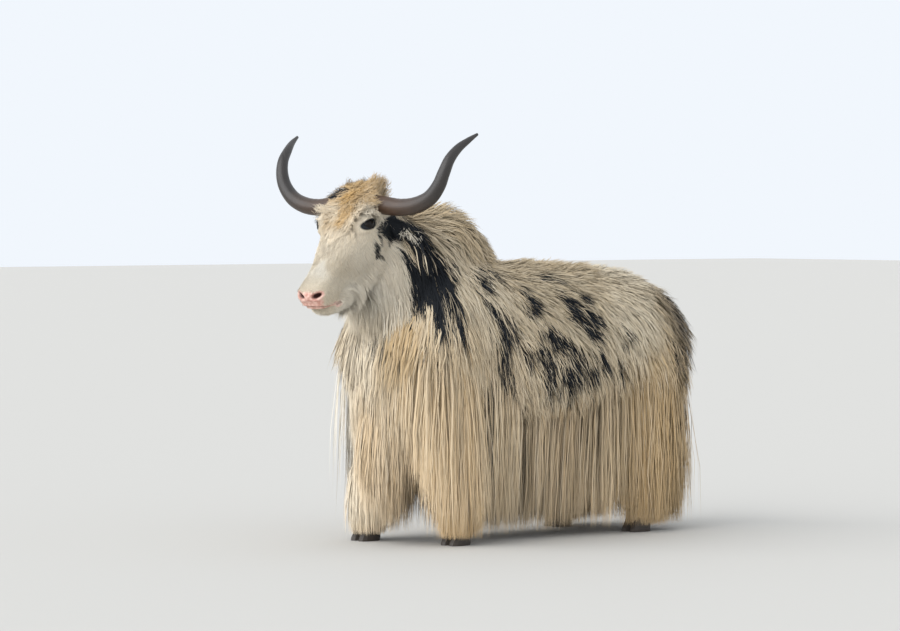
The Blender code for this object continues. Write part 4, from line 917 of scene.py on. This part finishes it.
def scattered(density, draw):
    # roots over the skin's triangles, with so many to the square metre as density says
    share = np.cumsum(density * triAreas)
    count = int(share[-1])
    picks = (np.arange(count) + draw.uniform(0, 1, count)) / count * share[-1]
    tri = np.minimum(np.searchsorted(share, picks), triCount - 1)
    a, b = draw.uniform(0, 1, (2, count))
    flip = a + b > 1
    a[flip], b[flip] = 1 - a[flip], 1 - b[flip]
    weights = np.stack([1 - a - b, a, b], 1)[:, :, None]
    roots = (triCorners[tri] * weights).sum(1)
    normals = unit((skinNormals[triVerts[tri]] * weights).sum(1))
    uv = (skinUv[triLoops[tri]] * weights).sum(1)
    return roots, normals, uv


def clumped(paths, area, size, strength, draw):
    # draws the tips of neighbouring tufts together into locks of that size
    roots = paths[:, 0]
    spread = max(1, int(len(roots) * min(1.0, (0.6 * size**-2) / max(1.0, len(roots) / area))))
    leaders = draw.permutation(len(roots))[:spread]
    tree = KDTree(len(leaders))
    for i, leader in enumerate(leaders):
        tree.insert(roots[leader], i)
    tree.balance()
    nearest = leaders[np.array([tree.find(root)[1] for root in roots])]
    t = np.linspace(0, 1, paths.shape[1])[None, :, None]
    pull = strength * t**1.3 * draw.uniform(0.6, 1.0, (len(roots), 1, 1))
    return paths + (paths[nearest] - paths) * pull


def levelled(directions, aside):
    # directions that point down are turned aside, as hair from below hangs with its outside out
    below = np.clip(-directions[:, 2:], 0, 1)
    flat = directions * np.array([1, 1, 0]) + np.array([0, 0, 1.0]) * np.maximum(directions[:, 2:], 0)
    return unit(flat * (1 - 0.8 * below) + aside * below)


def grown(layer, area, roots, normals, look, reach, draw):
    # walks each tuft out from its root, down its lie, clear of the skin
    count, steps = len(roots), layer["steps"]
    lie = look[:, :3]
    length, lift, droop, curl, mess = look[:, 3:].T
    sway = rippleVector(roots, layer["sway"], layer["seed"]) * 0.55
    sway += rippleVector(roots, layer["sway"] * 0.3, layer["seed"] + 5) * 0.45
    droop = 1 - (1 - droop) ** layer["fall"]
    lie = unit(lie) + sway * mess[:, None]
    lie = unit(lie - normals * (lie * normals).sum(1, keepdims=True))
    length = length * (1 + 0.22 * draw.uniform(-1, 1, count))
    length = length * (1 + 0.12 * ripple(roots, 0.07, layer["seed"] + 9))
    room = np.maximum(roots[:, 2] - layer["floor"] - 0.05 * draw.uniform(0, 1, count) ** 2, 0.01)
    length = np.minimum(length, room * 1.08 + 0.01)
    rise = normals * (lift * draw.uniform(0.5, 1.4, count))[:, None]
    run = unit(lie + rise + draw.normal(0, 0.06, (count, 3)))
    down = np.array([0, 0, -1.0])
    point = roots + run * 0.002
    paths = [roots - normals * layer["sink"]]
    aside = np.sign(roots[:, 1:2]) * np.array([0, 1.0, 0])
    if layer["head"]:
        aside = np.sign(headPlace(roots)[:, 1:2]) * np.array(headAcross) + np.array(headFacing) * 0.9
    ahead = smoothStep(0.20, 0.50, roots[:, :1]) * np.array([0.75, 0, 0.30]) * (not layer["head"])
    outs = [unit(levelled(normals, aside) + ahead)]
    step = (length / steps)[:, None]
    for k in range(steps):
        run = unit(run * (1 - droop[:, None]) + down * droop[:, None])
        point = point + run * step
        found = [skinTree.find_nearest(p) for p in point]
        near = asArray([item[0] for item in found])
        out = asArray([item[1] for item in found])
        height = ((point - near) * out).sum(1)
        wanted = layer["clear"] * (0.6 + 0.8 * (k + 1) / steps) * draw.uniform(0.3, 1.3, count) * reach
        lack = np.where(np.linalg.norm(point - near, axis=1) < 0.08, np.maximum(wanted - height, 0), 0)
        point = point + out * lack[:, None]
        paths.append(point.copy())
        outs.append(unit(0.6 * outs[-1] + 0.4 * levelled(out, aside) + 0.4 * ahead))
    paths, outs = np.stack(paths, 1), np.stack(outs, 1)
    for size, strength in layer["clumps"]:
        paths = clumped(paths, area, size, strength, draw)
    side = unit(np.cross(lie, normals))
    t = np.linspace(0, 1, steps + 1)[None, :]
    turns = (length / layer["wave"])[:, None] * draw.uniform(0.8, 1.2, (count, 1))
    phase = 2 * math.pi * (draw.uniform(0, 1, (count, 1)) + turns * t)
    swing = (curl * length)[:, None] * np.minimum(1, t * 3)
    paths = paths + side[:, None, :] * (np.sin(phase) * swing)[:, :, None]
    lifted = ((np.cos(phase) * 0.6 + 0.4) * swing)[:, :, None] * (curl > 0.1)[:, None, None]
    paths = paths + normals[:, None, :] * lifted
    low = layer["floor"] * 0.75
    paths[:, :, 2] = np.maximum(paths[:, :, 2], low + 0.004 * draw.uniform(0, 1, (count, 1)))
    return paths, unit(outs)


tuftSoftness = dict(round=0.32, body=0.80)  # each tuft is lit partly as itself, partly as the coat


def tuftMesh(name, paths, outs, facing, width, thick, uv, marks, shade):
    # closed three-sided tapered tufts, as one joined mesh
    count, stations, _ = paths.shape
    rings = stations - 1
    run = np.empty_like(paths)
    run[:, 1:-1] = paths[:, 2:] - paths[:, :-2]
    run[:, 0], run[:, -1] = paths[:, 1] - paths[:, 0], paths[:, -1] - paths[:, -2]
    run = unit(run)[:, :rings]
    across = unit(np.cross(run, facing[:, None, :]))
    out = np.cross(across, run)
    t = np.linspace(0, 1, stations)[:rings]
    taper = (0.62 + 1.0 * t) * (1 - t**2.2)
    half = (0.5 * width[:, None] * taper)[:, :, None]
    deep = (thick[:, None] * taper)[:, :, None]
    centre = paths[:, :rings]
    ring = np.stack([centre + across * half, centre + out * deep, centre - across * half], 2)
    verts = np.concatenate([ring.reshape(count, rings * 3, 3), paths[:, -1:]], 1)
    soft = outs[:, :rings]
    rounded = np.stack([0.8 * across + 0.1 * out, out, -0.8 * across + 0.1 * out], 2)
    bent = unit(rounded * tuftSoftness["round"] + soft[:, :, None] * tuftSoftness["body"])
    bent = np.concatenate([bent.reshape(count, rings * 3, 3), outs[:, -1:]], 1)
    perTuft = rings * 3 + 1
    faces, columns, rows = [(2, 1, 0)], [(2, 1, 0)], [(0, 0, 0)]
    for r in range(rings - 1):
        for j in range(3):
            a, b = 3 * r + j, 3 * r + (j + 1) % 3
            faces += [(a, b, b + 3), (a, b + 3, a + 3)]
            columns += [(j, j + 1, j + 1), (j, j + 1, j)]
            rows += [(r, r, r + 1), (r, r + 1, r + 1)]
    for j in range(3):
        a, b = 3 * (rings - 1) + j, 3 * (rings - 1) + (j + 1) % 3
        faces.append((a, b, perTuft - 1))
        columns.append((j, j + 1, j + 0.5))
        rows.append((rings - 1, rings - 1, rings))
    faces, columns, rows = (np.array(part)[:, ::-1] for part in (faces, columns, rows))
    index = (faces[None] + np.arange(count)[:, None, None] * perTuft).astype(np.int32).ravel()
    patch = np.stack([columns / 3, rows / rings], -1).reshape(1, -1, 2) * 0.003 - 0.0015
    loopUv = (uv[:, None, :] + patch).reshape(-1, 2)
    mesh = bpy.data.meshes.new(name)
    mesh.vertices.add(count * perTuft)
    mesh.vertices.foreach_set("co", verts.reshape(-1).astype(np.float32))
    mesh.loops.add(len(index))
    mesh.loops.foreach_set("vertex_index", index)
    total = len(index) // 3
    mesh.polygons.add(total)
    mesh.polygons.foreach_set("loop_start", np.arange(total, dtype=np.int32) * 3)
    mesh.polygons.foreach_set("use_smooth", np.ones(total, bool))
    layer = mesh.uv_layers.new(name="OFBake")
    layer.data.foreach_set("uv", loopUv.astype(np.float32).ravel())
    # how far along its tuft each point lies, which the coat's finish darkens towards the root as painted
    # shade
    along = np.tile(np.concatenate([np.repeat(t, 3), [1.0]]), count)
    addField(mesh, "custom_normal", bent.reshape(-1, 3))
    addField(mesh, "toneField", np.repeat(marks[:, :3], perTuft, 0))
    strand = np.stack([np.repeat(marks[:, 3], perTuft), along, np.repeat(shade, perTuft)], 1)
    addField(mesh, "strandField", strand)
    mesh.update(calc_edges=True)
    return mesh


# Layers of the coat, in metres. dense: tufts to the square metre; clear: off the skin; fall: how much
# faster it droops; wave: length of one curl; clumps: size and strength; mix: how much marks mingle;
# stray: share of pale hairs among black; under: share of broad tufts set back to fill the gaps
shagLayer = dict(name="shag", comb=shagComb, head=False, seed=11, steps=3, dense=14600, width=0.0046,
                 thick=0.0010, sink=0.004, clear=0.011, floor=0.05, fall=1.0, sway=0.11, wave=0.10,
                 clumps=((0.050, 0.25), (0.018, 0.50)), mix=0.30, stray=0.16, under=0)
skirtLayer = dict(name="skirt", comb=skirtComb, head=False, seed=23, steps=3, dense=17800, width=0.0036,
                  thick=0.0008, sink=0.004, clear=0.014, floor=0.030, fall=1.7, sway=0.16, wave=0.40,
                  clumps=((0.060, 0.18), (0.022, 0.22)), mix=0.30, stray=0.3, under=0.12)
faceLayer = dict(name="face", comb=faceComb, head=True, seed=37, steps=2, dense=88000, width=0.0019,
                 thick=0.0004, sink=0.001, clear=0.0011, floor=0.05, fall=1.0, sway=0.05, wave=0.05,
                 clumps=((0.010, 0.20),), mix=0.12, stray=0.05, under=0)
curlLayer = dict(name="curl", comb=curlComb, head=True, seed=53, steps=5, dense=96000, width=0.0022,
                 thick=0.0008, sink=0.004, clear=0.005, floor=0.05, fall=1.0, sway=0.05, wave=0.046,
                 clumps=((0.015, 0.58),), mix=0.12, stray=0.0, under=0)


# Where the shag ends and the skirt starts: the hem's height along the body, how far the two overlap,
# and how much denser the skirt grows along the belly
hemPlan = dict(
    x=[-1.0, -0.86, -0.62, -0.45, -0.34, -0.22, 0.06, 0.14, 0.30, 0.55, 0.70],
    z=[0.74, 0.70, 0.66, 0.65, 0.62, 0.565, 0.550, 0.62, 0.74, 0.76, 0.68],
    overlapX=[-0.62, -0.50, -0.30, -0.20, 0.06, 0.16], overlap=[0.10, 0.06, 0.04, 0.02, 0.02, 0.10],
    denserX=[-0.60, -0.50, 0.06, 0.16], denser=[1.0, 1.45, 1.45, 1.0], tailFrom=-0.885)


def zoneOf(points):
    # share of each layer at a place on the skin
    head = headPlace(points)
    onHeadSide = (points - np.array((0.655, 0.035, 1.2))) @ np.array(headFacing)
    inHead = smoothStep(-0.03, 0.01, onHeadSide) * (points[:, 2] > 0.85)
    spread = head[:, 0] + 1.25 * np.abs(head[:, 1]) + 0.02 * ripple(points, 0.05, 71)
    crown = smoothStep(0.245, 0.17, spread) * smoothStep(-0.018, 0.008, head[:, 2])
    crown = crown * smoothStep(-0.10, -0.07, head[:, 0]) * (points[:, 2] > 1.2) * (points[:, 0] > 0.60)
    for side in (1, -1):
        crown = crown * smoothStep(0.046, 0.060, np.linalg.norm(points - np.array(eyeFrame(side)[0]), axis=1))
    face = inHead * (1 - crown)
    z, x, y = points[:, 2], points[:, 0], points[:, 1]
    hem = np.interp(x, hemPlan["x"], hemPlan["z"]) + 0.02 * ripple(points, 0.09, 70)
    tail = x < hemPlan["tailFrom"]
    upper = smoothStep(hem - 0.03, hem + 0.01, z) * (1 - tail)
    shag = upper * (1 - inHead) * (1 - crown)
    overlap = np.interp(x, hemPlan["overlapX"], hemPlan["overlap"])
    lower = smoothStep(hem + overlap + 0.03, hem + overlap * 0.3, z)
    skirt = np.maximum(lower, tail) * (1 - inHead)
    under = (np.abs(y) < 0.13) & (z < 0.58) & (x > -0.55) & (x < 0.36)
    skirt = np.where(under, skirt * 0.35, skirt)
    skirt = skirt * np.interp(x, hemPlan["denserX"], hemPlan["denser"])
    return dict(shag=shag, skirt=skirt, face=face, curl=crown)


# How sharply the comb's rows part, where a mark's edge lies, and how stray pale hairs thin out on the neck
coatPlan = dict(combSharp=3.0, markEdge=(0.22, 0.68), strayX=[0.30, 0.42], stray=[1.3, 0.1])


def coatLayer(layer):
    draw = np.random.default_rng(layer["seed"])
    places, values = bothSides(layer["comb"], layer["head"])
    density = layer["dense"] * zoneOf(triCentres)[layer["name"]] * ~bareAt(triCentres)
    area = max(0.01, (density > 0).dot(triAreas))
    roots, normals, uv = scattered(density, draw)
    look = blendAt(roots, places, values, coatPlan["combSharp"])
    look[:, :3] = unit(look[:, :3])
    count = len(roots)
    under = draw.uniform(0, 1, count) < layer["under"]
    paths, outs = grown(layer, area, roots, normals, look, np.where(under, 0.15, 1.0), draw)
    marks = marksAt(roots * 0.35 + paths[:, (layer["steps"] * 2 + 2) // 3] * 0.65)
    edge = (marks[:, 3] > 0.02) & (marks[:, 3] < 0.98)
    mingled = marks[:, 3] + layer["mix"] * draw.normal(0, 1, count) * edge
    marks[:, 3] = smoothStep(*coatPlan["markEdge"], mingled)
    stray = layer["stray"] * np.interp(roots[:, 0], coatPlan["strayX"], coatPlan["stray"])
    marks[:, 3] *= np.where(draw.uniform(0, 1, count) < stray, 0.35, 1)
    marks[:, :3] = np.clip(marks[:, :3] + draw.normal(0, 0.07, (count, 3)), 0, 1)
    shade = draw.uniform(0, 1, count)
    facing = unit(normals + draw.normal(0, 0.28, (count, 3)))
    hanging = (np.abs(normals[:, 2]) > 0.8) & (look[:, 5] > 0.24)
    sideways = unit(roots * (0, 1, 0) + draw.normal(0, 0.3, (count, 3)))
    facing = np.where(hanging[:, None], sideways, facing)
    width = layer["width"] * draw.uniform(0.6, 1.3, count) * np.where(under, 1.5, 1)
    thick = layer["thick"] * draw.uniform(0.7, 1.3, count)
    return roots, paths, outs, facing, width, thick, uv, marks, shade


# Pieces of the coat along the body: name, from x, to x
coatBands = dict(
    shag=(("Neck", 0.40, 9), ("Shoulder", 0.06, 0.40), ("Flank", -0.42, 0.06), ("Rump", -9, -0.42)),
    skirt=(("Fore", 0.06, 9), ("Belly", -0.42, 0.06), ("Hind", hemPlan["tailFrom"], -0.42),
           ("Tail", -9, hemPlan["tailFrom"])))


def splitInto(roots, layer):
    # pieces by place, so that each stays well under 200,000 triangles
    x, y = roots[:, 0], roots[:, 1]
    if layer in ("face", "curl"):
        side = headPlace(roots)[:, 1] > 0
        word = "faceHair" if layer == "face" else "forelock"
        return [(word + "Right", ~side), (word + "Left", side)]
    found = []
    for word, low, high in coatBands[layer]:
        for side, label in ((1, "Left"), (-1, "Right")):
            found.append((layer + word + label, (x >= low) & (x < high) & (y * side >= 0)))
    return found


coatPieces = []
for layer in (shagLayer, skirtLayer, faceLayer, curlLayer):
    roots, paths, *rest = coatLayer(layer)
    for name, here in splitInto(roots, layer["name"]):
        if here.any():
            mesh = tuftMesh(name, paths[here], *[column[here] for column in rest])
            coatPieces.append(newPiece(name, mesh))
            print(f"         {name}: {here.sum()} tufts, {len(mesh.polygons)} triangles")
    stage(f"{layer['name']}: {len(roots)} tufts")


def fringe(name, plan, lines, outs, facings, mark, shade):
    # a few tufts placed one by one, each with its patch where it stands on the skin
    count = len(lines)
    tri = [skinTree.find_nearest(line[0])[2] for line in lines]
    width = np.full(count, plan["width"])
    mesh = tuftMesh(name, np.array(lines), np.array(outs), np.array(facings), width, width * 0.4,
                    skinUv[triLoops[tri]].mean(1), np.tile(mark, (count, 1)), shade)
    coatPieces.append(newPiece(name, mesh))


def hairLine(point, run, bend, length, least, draw):
    # one hair in three steps, which turns a little at each
    line = [point]
    for _ in range(3):
        line.append(line[-1] + run * length * draw.uniform(least, 1.2) / 3)
        run = unit(run - bend)
    return line


def makeLashes(plan):
    # a fringe of stiff hairs along the edge of each upper lid
    draw = np.random.default_rng(plan["seed"])
    lines, outs, facings = [], [], []
    for side in (1, -1):
        centre, outward, fore, over = (np.array(v) for v in eyeFrame(side))
        for k in range(plan["count"]):
            u = plan["spread"] * (2 * (k + draw.uniform(0.2, 0.8)) / plan["count"] - 1)
            w = eyePlan["upper"] * max(0.0, 1 - (u / eyePlan["corner"]) ** 2) ** eyePlan["arch"]
            w = w * (1 - eyePlan["point"] * max(u, 0)) + 0.04
            h = math.sqrt(max(0.0, 1 - u * u - w * w))
            point = centre + (fore * u + over * w + outward * h) * (eyePlan["radius"] + 0.001)
            run = unit(outward * 0.9 + over * 0.15 + fore * 0.35 * u + draw.normal(0, 0.06, 3))
            lines.append(hairLine(point, run, over * 0.28, plan["length"], 0.8, draw))
            outs.append([outward] * 4)
            facings.append(over)
    fringe("lashes", plan, lines, outs, facings, [0, 0, 0, 1.0], np.full(len(lines), 0.5))


def makeEarTufts(plan):
    # long white hair out of the ears' cups
    draw = np.random.default_rng(plan["seed"])
    lines, outs, facings = [], [], []
    for side in (1, -1):
        path = asArray([row[0] for row in earPath(side)])
        facing = np.array((headFacing * 0.75 + headAcross * side * 0.60).normalized())
        for _ in range(plan["count"]):
            point = path[6] + (path[10] - path[6]) * draw.uniform(0, 1) + facing * draw.uniform(0.004, 0.016)
            point = point + draw.normal(0, 0.010, 3)
            run = facing * 0.9 + (path[12] - path[8]) * 6 + np.array(earAcross) * 0.2
            run = unit(run + draw.normal(0, 0.28, 3))
            lines.append(hairLine(point, run, np.array(up) * 0.45, plan["length"], 0.7, draw))
            outs.append([facing] * 4)
            facings.append(facing)
    fringe("earTufts", plan, lines, outs, facings, [0.05, 0, 0.9, 0], draw.uniform(0, 1, len(lines)))


makeEarTufts(dict(seed=83, count=110, length=0.040, width=0.0017))
makeLashes(dict(seed=71, count=22, spread=0.92, length=0.013, width=0.0018))
marks = marksAt(skinVerts)
addField(skinMesh, "toneField", marks[:, :3])
even = np.ones(len(marks))
# the hide takes the coat's marks, with the painted shade of the coat's roots over it
addField(skinMesh, "strandField", np.stack([marks[:, 3], 0.12 * even, 0.4 * even], 1))
addField(skinMesh, "noseField", np.stack(noseField(skinVerts) + [0 * even], 1))


def linear(code):
    parts = [int(code[i:i + 2], 16) / 255 for i in (1, 3, 5)]
    return (*(c / 12.92 if c <= 0.04045 else ((c + 0.055) / 1.055) ** 2.4 for c in parts), 1.0)


def addNode(tree, kind, inputs=None, **settings):
    node = tree.nodes.new(kind)
    for key, value in settings.items():
        setattr(node, key, value)
    for key, value in (inputs or {}).items():
        if isinstance(value, bpy.types.NodeSocket):
            tree.links.new(value, node.inputs[key])
        else:
            node.inputs[key].default_value = value
    return node


def newMaterial(name, **sockets):
    material = bpy.data.materials.new(name)
    material.use_nodes = True
    shader = material.node_tree.nodes["Principled BSDF"]
    for key, value in sockets.items():
        shader.inputs[key.replace("_", " ")].default_value = value
    return material, material.node_tree, shader


# The coat: cream wool, sun-bleached gold, dusty grey-tan (also painted shade on the face's sides), white face
# and blue-black patches
coatColours = dict(cream="#E5D6B8", golden="#C99F5F", grey="#988871", pale="#F0E8D8", black="#181C21")


def coatColour(tree):
    tone = addNode(tree, "ShaderNodeAttribute", attribute_name="toneField")
    tone = addNode(tree, "ShaderNodeSeparateXYZ", {0: tone.outputs["Vector"]})
    strand = addNode(tree, "ShaderNodeAttribute", attribute_name="strandField")
    strand = addNode(tree, "ShaderNodeSeparateXYZ", {0: strand.outputs["Vector"]})
    dark, along, shade = strand.outputs[:3]
    colour = linear(coatColours["cream"])
    for share, name in zip(tone.outputs[:3], ("golden", "grey", "pale")):
        colour = addNode(tree, "ShaderNodeMix", {0: share, 6: colour, 7: linear(coatColours[name])},
                         data_type="RGBA").outputs[2]
    # painted shade: a little darker at the roots, where the coat shades itself, and no two tufts quite alike
    deep = addNode(tree, "ShaderNodeMapRange", {0: along, 1: 0.0, 2: 0.45, 3: 0.84, 4: 1.0},
                   interpolation_type="SMOOTHSTEP")
    vary = addNode(tree, "ShaderNodeMapRange", {0: shade, 1: 0.0, 2: 1.0, 3: 0.94, 4: 1.04})
    value = addNode(tree, "ShaderNodeMath", {0: deep.outputs[0], 1: vary.outputs[0]}, operation="MULTIPLY")
    scaled = addNode(tree, "ShaderNodeVectorMath", {0: colour, 3: value.outputs[0]}, operation="SCALE")
    return addNode(tree, "ShaderNodeMix", {0: dark, 6: scaled.outputs[0], 7: linear(coatColours["black"])},
                   data_type="RGBA").outputs[2]


def coatMaterial():
    # long wool: soft and dull, with a faint shine where the light grazes it
    material, tree, shader = newMaterial("longWool", Roughness=0.68, Specular_IOR_Level=0.25)
    tree.links.new(coatColour(tree), shader.inputs["Base Color"])
    return material


def skinMaterial():
    # hide with short flat hair, matt; the bare nose and lips are mottled pink, pebbled and moist
    material, tree, shader = newMaterial("shortHairHide", Roughness=0.72, Specular_IOR_Level=0.3)
    nose = addNode(tree, "ShaderNodeAttribute", attribute_name="noseField")
    nose = addNode(tree, "ShaderNodeSeparateXYZ", {0: nose.outputs["Vector"]})
    pink, inside = nose.outputs[:2]
    place = addNode(tree, "ShaderNodeTexCoord").outputs["Object"]
    # flushes of about 14 mm
    mottle = addNode(tree, "ShaderNodeTexNoise", {"Vector": place, "Scale": 70.0, "Detail": 3.0})
    flush = addNode(tree, "ShaderNodeMapRange", {0: mottle.outputs[0], 1: 0.35, 2: 0.65, 3: 0.0, 4: 1.0})
    fleshy = addNode(tree, "ShaderNodeMix", {0: flush.outputs[0], 6: linear("#E2BDAE"), 7: linear("#C08A7C")},
                     data_type="RGBA")
    colour = addNode(tree, "ShaderNodeMix", {0: pink, 6: coatColour(tree), 7: fleshy.outputs[2]},
                     data_type="RGBA")
    # painted shade in the nostrils' pits and in the gap between the lips
    colour = addNode(tree, "ShaderNodeMix", {0: inside, 6: colour.outputs[2], 7: linear("#3A1E1C")},
                     data_type="RGBA")
    # pebbles of about 2.4 mm
    pebbles = addNode(tree, "ShaderNodeTexVoronoi", {"Vector": place, "Scale": 420.0})
    pebbled = addNode(tree, "ShaderNodeMath", {0: pebbles.outputs["Distance"], 1: pink}, operation="MULTIPLY")
    bump = addNode(tree, "ShaderNodeBump", {"Height": pebbled.outputs[0], "Strength": 0.5,
                                            "Distance": 0.0012})
    moist = addNode(tree, "ShaderNodeMapRange", {0: pink, 1: 0.0, 2: 1.0, 3: 0.72, 4: 0.40})
    tree.links.new(bump.outputs[0], shader.inputs["Normal"])
    tree.links.new(moist.outputs[0], shader.inputs["Roughness"])
    tree.links.new(colour.outputs[2], shader.inputs["Base Color"])
    return material


def hornMaterial():
    # keratin: satin, with fine fibres along the horn, dark grey towards the tip, browner at the root
    material, tree, shader = newMaterial("keratinHorn", Roughness=0.38, Specular_IOR_Level=0.5)
    along = addNode(tree, "ShaderNodeAttribute", attribute_name="hornField").outputs["Vector"]
    # fibres of about 50 mm, a little under 1 mm apart
    place = addNode(tree, "ShaderNodeMapping", {"Vector": along, "Scale": (3, 60, 1)})
    fibre = addNode(tree, "ShaderNodeTexNoise", {"Vector": place.outputs[0], "Scale": 4.0, "Detail": 6.0})
    root = addNode(tree, "ShaderNodeSeparateXYZ", {0: along})
    ramp = addNode(tree, "ShaderNodeMapRange", {0: root.outputs[0], 1: 0.05, 2: 0.45, 3: 1.0, 4: 0.0})
    colour = addNode(tree, "ShaderNodeMix", {0: ramp.outputs[0], 6: linear("#322E2C"), 7: linear("#523D2E")},
                     data_type="RGBA")
    contrast = addNode(tree, "ShaderNodeMapRange", {0: fibre.outputs[0], 1: 0.35, 2: 0.68, 3: 0.55, 4: 1.5})
    scaled = addNode(tree, "ShaderNodeVectorMath", {0: colour.outputs[2], 3: contrast.outputs[0]},
                     operation="SCALE")
    bump = addNode(tree, "ShaderNodeBump", {"Height": fibre.outputs[0], "Strength": 0.35, "Distance": 0.001})
    tree.links.new(scaled.outputs[0], shader.inputs["Base Color"])
    tree.links.new(bump.outputs[0], shader.inputs["Normal"])
    return material


def eyeMaterial():
    # wet cornea over a nearly black iris: dark, with a small sharp highlight
    material, _, shader = newMaterial("wetEye", Roughness=0.07, Specular_IOR_Level=0.22)
    shader.inputs["Base Color"].default_value = linear("#15100D")
    return material


def hoofMaterial():
    # hoof horn: dull, dark, with flat growth rings about 4 mm apart
    material, tree, shader = newMaterial("hoofHorn", Roughness=0.55)
    place = addNode(tree, "ShaderNodeTexCoord").outputs["Object"]
    rings = addNode(tree, "ShaderNodeMapping", {"Vector": place, "Scale": (8, 8, 90)})
    noise = addNode(tree, "ShaderNodeTexNoise", {"Vector": rings.outputs[0], "Scale": 3.0, "Detail": 5.0})
    colour = addNode(tree, "ShaderNodeMix", {0: noise.outputs[0], 6: linear("#211C18"), 7: linear("#4B423A")},
                     data_type="RGBA")
    bump = addNode(tree, "ShaderNodeBump", {"Height": noise.outputs[0], "Strength": 0.4, "Distance": 0.001})
    tree.links.new(colour.outputs[2], shader.inputs["Base Color"])
    tree.links.new(bump.outputs[0], shader.inputs["Normal"])
    return material


woolFinish, hideFinish, hornFinish = coatMaterial(), skinMaterial(), hornMaterial()
eyeFinish, hoofFinish = eyeMaterial(), hoofMaterial()


def makeHorn(side, name):
    bm = bmesh.new()
    path = hornPath(side, hornPlan["stations"])
    rings = []
    for i, (point, radius) in enumerate(path):
        depth = hornPlan["ring"] * math.sin(i * hornPlan["every"]) * max(0, 1 - i / hornPlan["ringsTo"])
        rings.append((point, radius * (1 + depth), radius * (1 + depth)))
    loftInto(bm, limbRings(rings, headFacing, hornPlan["sides"]))
    piece = solid(name, bm)
    piece.data.shade_smooth()
    line = asArray([point for point, _ in path])
    verts = asArray([vert.co for vert in piece.data.vertices])
    near = np.argmin(np.linalg.norm(verts[:, None] - line[None], axis=2), axis=1)
    offset = verts - line[near]
    turn = np.arctan2(offset @ np.array(up), offset @ np.array(headFacing)) / (2 * math.pi)
    share = near / (hornPlan["stations"] - 1)
    addField(piece.data, "hornField", np.stack([share, turn, np.zeros(len(verts))], 1))
    return piece


def makeEye(side, name):
    bm = bmesh.new()
    centre, outward = eyeFrame(side)[:2]
    ballInto(bm, Vector((0, 0, 0)), (1, 1, 1), None, 40, 24)
    bmesh.ops.scale(bm, vec=(eyePlan["radius"] - 0.0002,) * 3, verts=bm.verts)
    turn = outward.to_track_quat("Z", "Y").to_matrix().to_4x4()
    bmesh.ops.transform(bm, matrix=Matrix.Translation(centre) @ turn, verts=bm.verts)
    piece = solid(name, bm)
    piece.data.shade_smooth()
    return piece


def finished(piece, material):
    piece.data.transform(Matrix.Translation(stand))
    piece.data.materials.clear()
    piece.data.materials.append(material)
    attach(piece, "root")
    return piece


finished(skin, hideFinish)
flesh = ["barrel", "shoulders", "neck", "hump", "rump", "tail", "foreleg_left", "foreleg_right",
         "hindleg_left", "hindleg_right", "head", "ear_left", "ear_right"]
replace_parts(skin, *flesh)
for piece in coatPieces:
    finished(piece, woolFinish)
for side, word in ((1, "left"), (-1, "right")):
    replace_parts(finished(makeHorn(side, word + "Horn"), hornFinish), "horn_" + word)
    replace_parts(finished(makeEye(side, word + "Eye"), eyeFinish), "eye_" + word)
for name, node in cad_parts.items():
    if name.startswith("claw_"):
        node.data.materials.clear()
        node.data.materials.append(hoofFinish)
stage("finishes")


# Studio: a pale floor, a soft sky and one very soft light from ahead of the yak
studioPlan = dict(floor="#C9C6C0", sky="#DDE2E8", skyStrength=1.22, lightFrom=(5.0, -0.6, 2.0),
                  lightAngle=80, lightPower=2.9)


def makeStudio(plan):
    bm = bmesh.new()
    bmesh.ops.create_grid(bm, x_segments=1, y_segments=1, size=60)
    floor = solid("studioFloor", bm)
    # flat painted floor: pale grey, without shine
    material, _, shader = newMaterial("paintedFloor", Roughness=0.9)
    shader.inputs["Base Color"].default_value = linear(plan["floor"])
    floor.data.materials.append(material)
    world = bpy.data.worlds.new("studioSky")
    world.use_nodes = True
    sky = world.node_tree.nodes["Background"]
    sky.inputs["Color"].default_value = linear(plan["sky"])
    sky.inputs["Strength"].default_value = plan["skyStrength"]
    bpy.context.scene.world = world
    data = bpy.data.lights.new("keyLight", "SUN")
    data.energy = plan["lightPower"]
    data.angle = math.radians(plan["lightAngle"])
    lamp = bpy.data.objects.new("keyLight", data)
    lamp.location = plan["lightFrom"]
    lamp.rotation_mode = "QUATERNION"
    lamp.rotation_quaternion = (-lamp.location).to_track_quat("-Z", "Y")
    bpy.context.scene.collection.objects.link(lamp)


makeStudio(studioPlan)
bpy.context.scene.view_settings.view_transform = "Standard"
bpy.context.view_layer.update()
stage("whole yak")
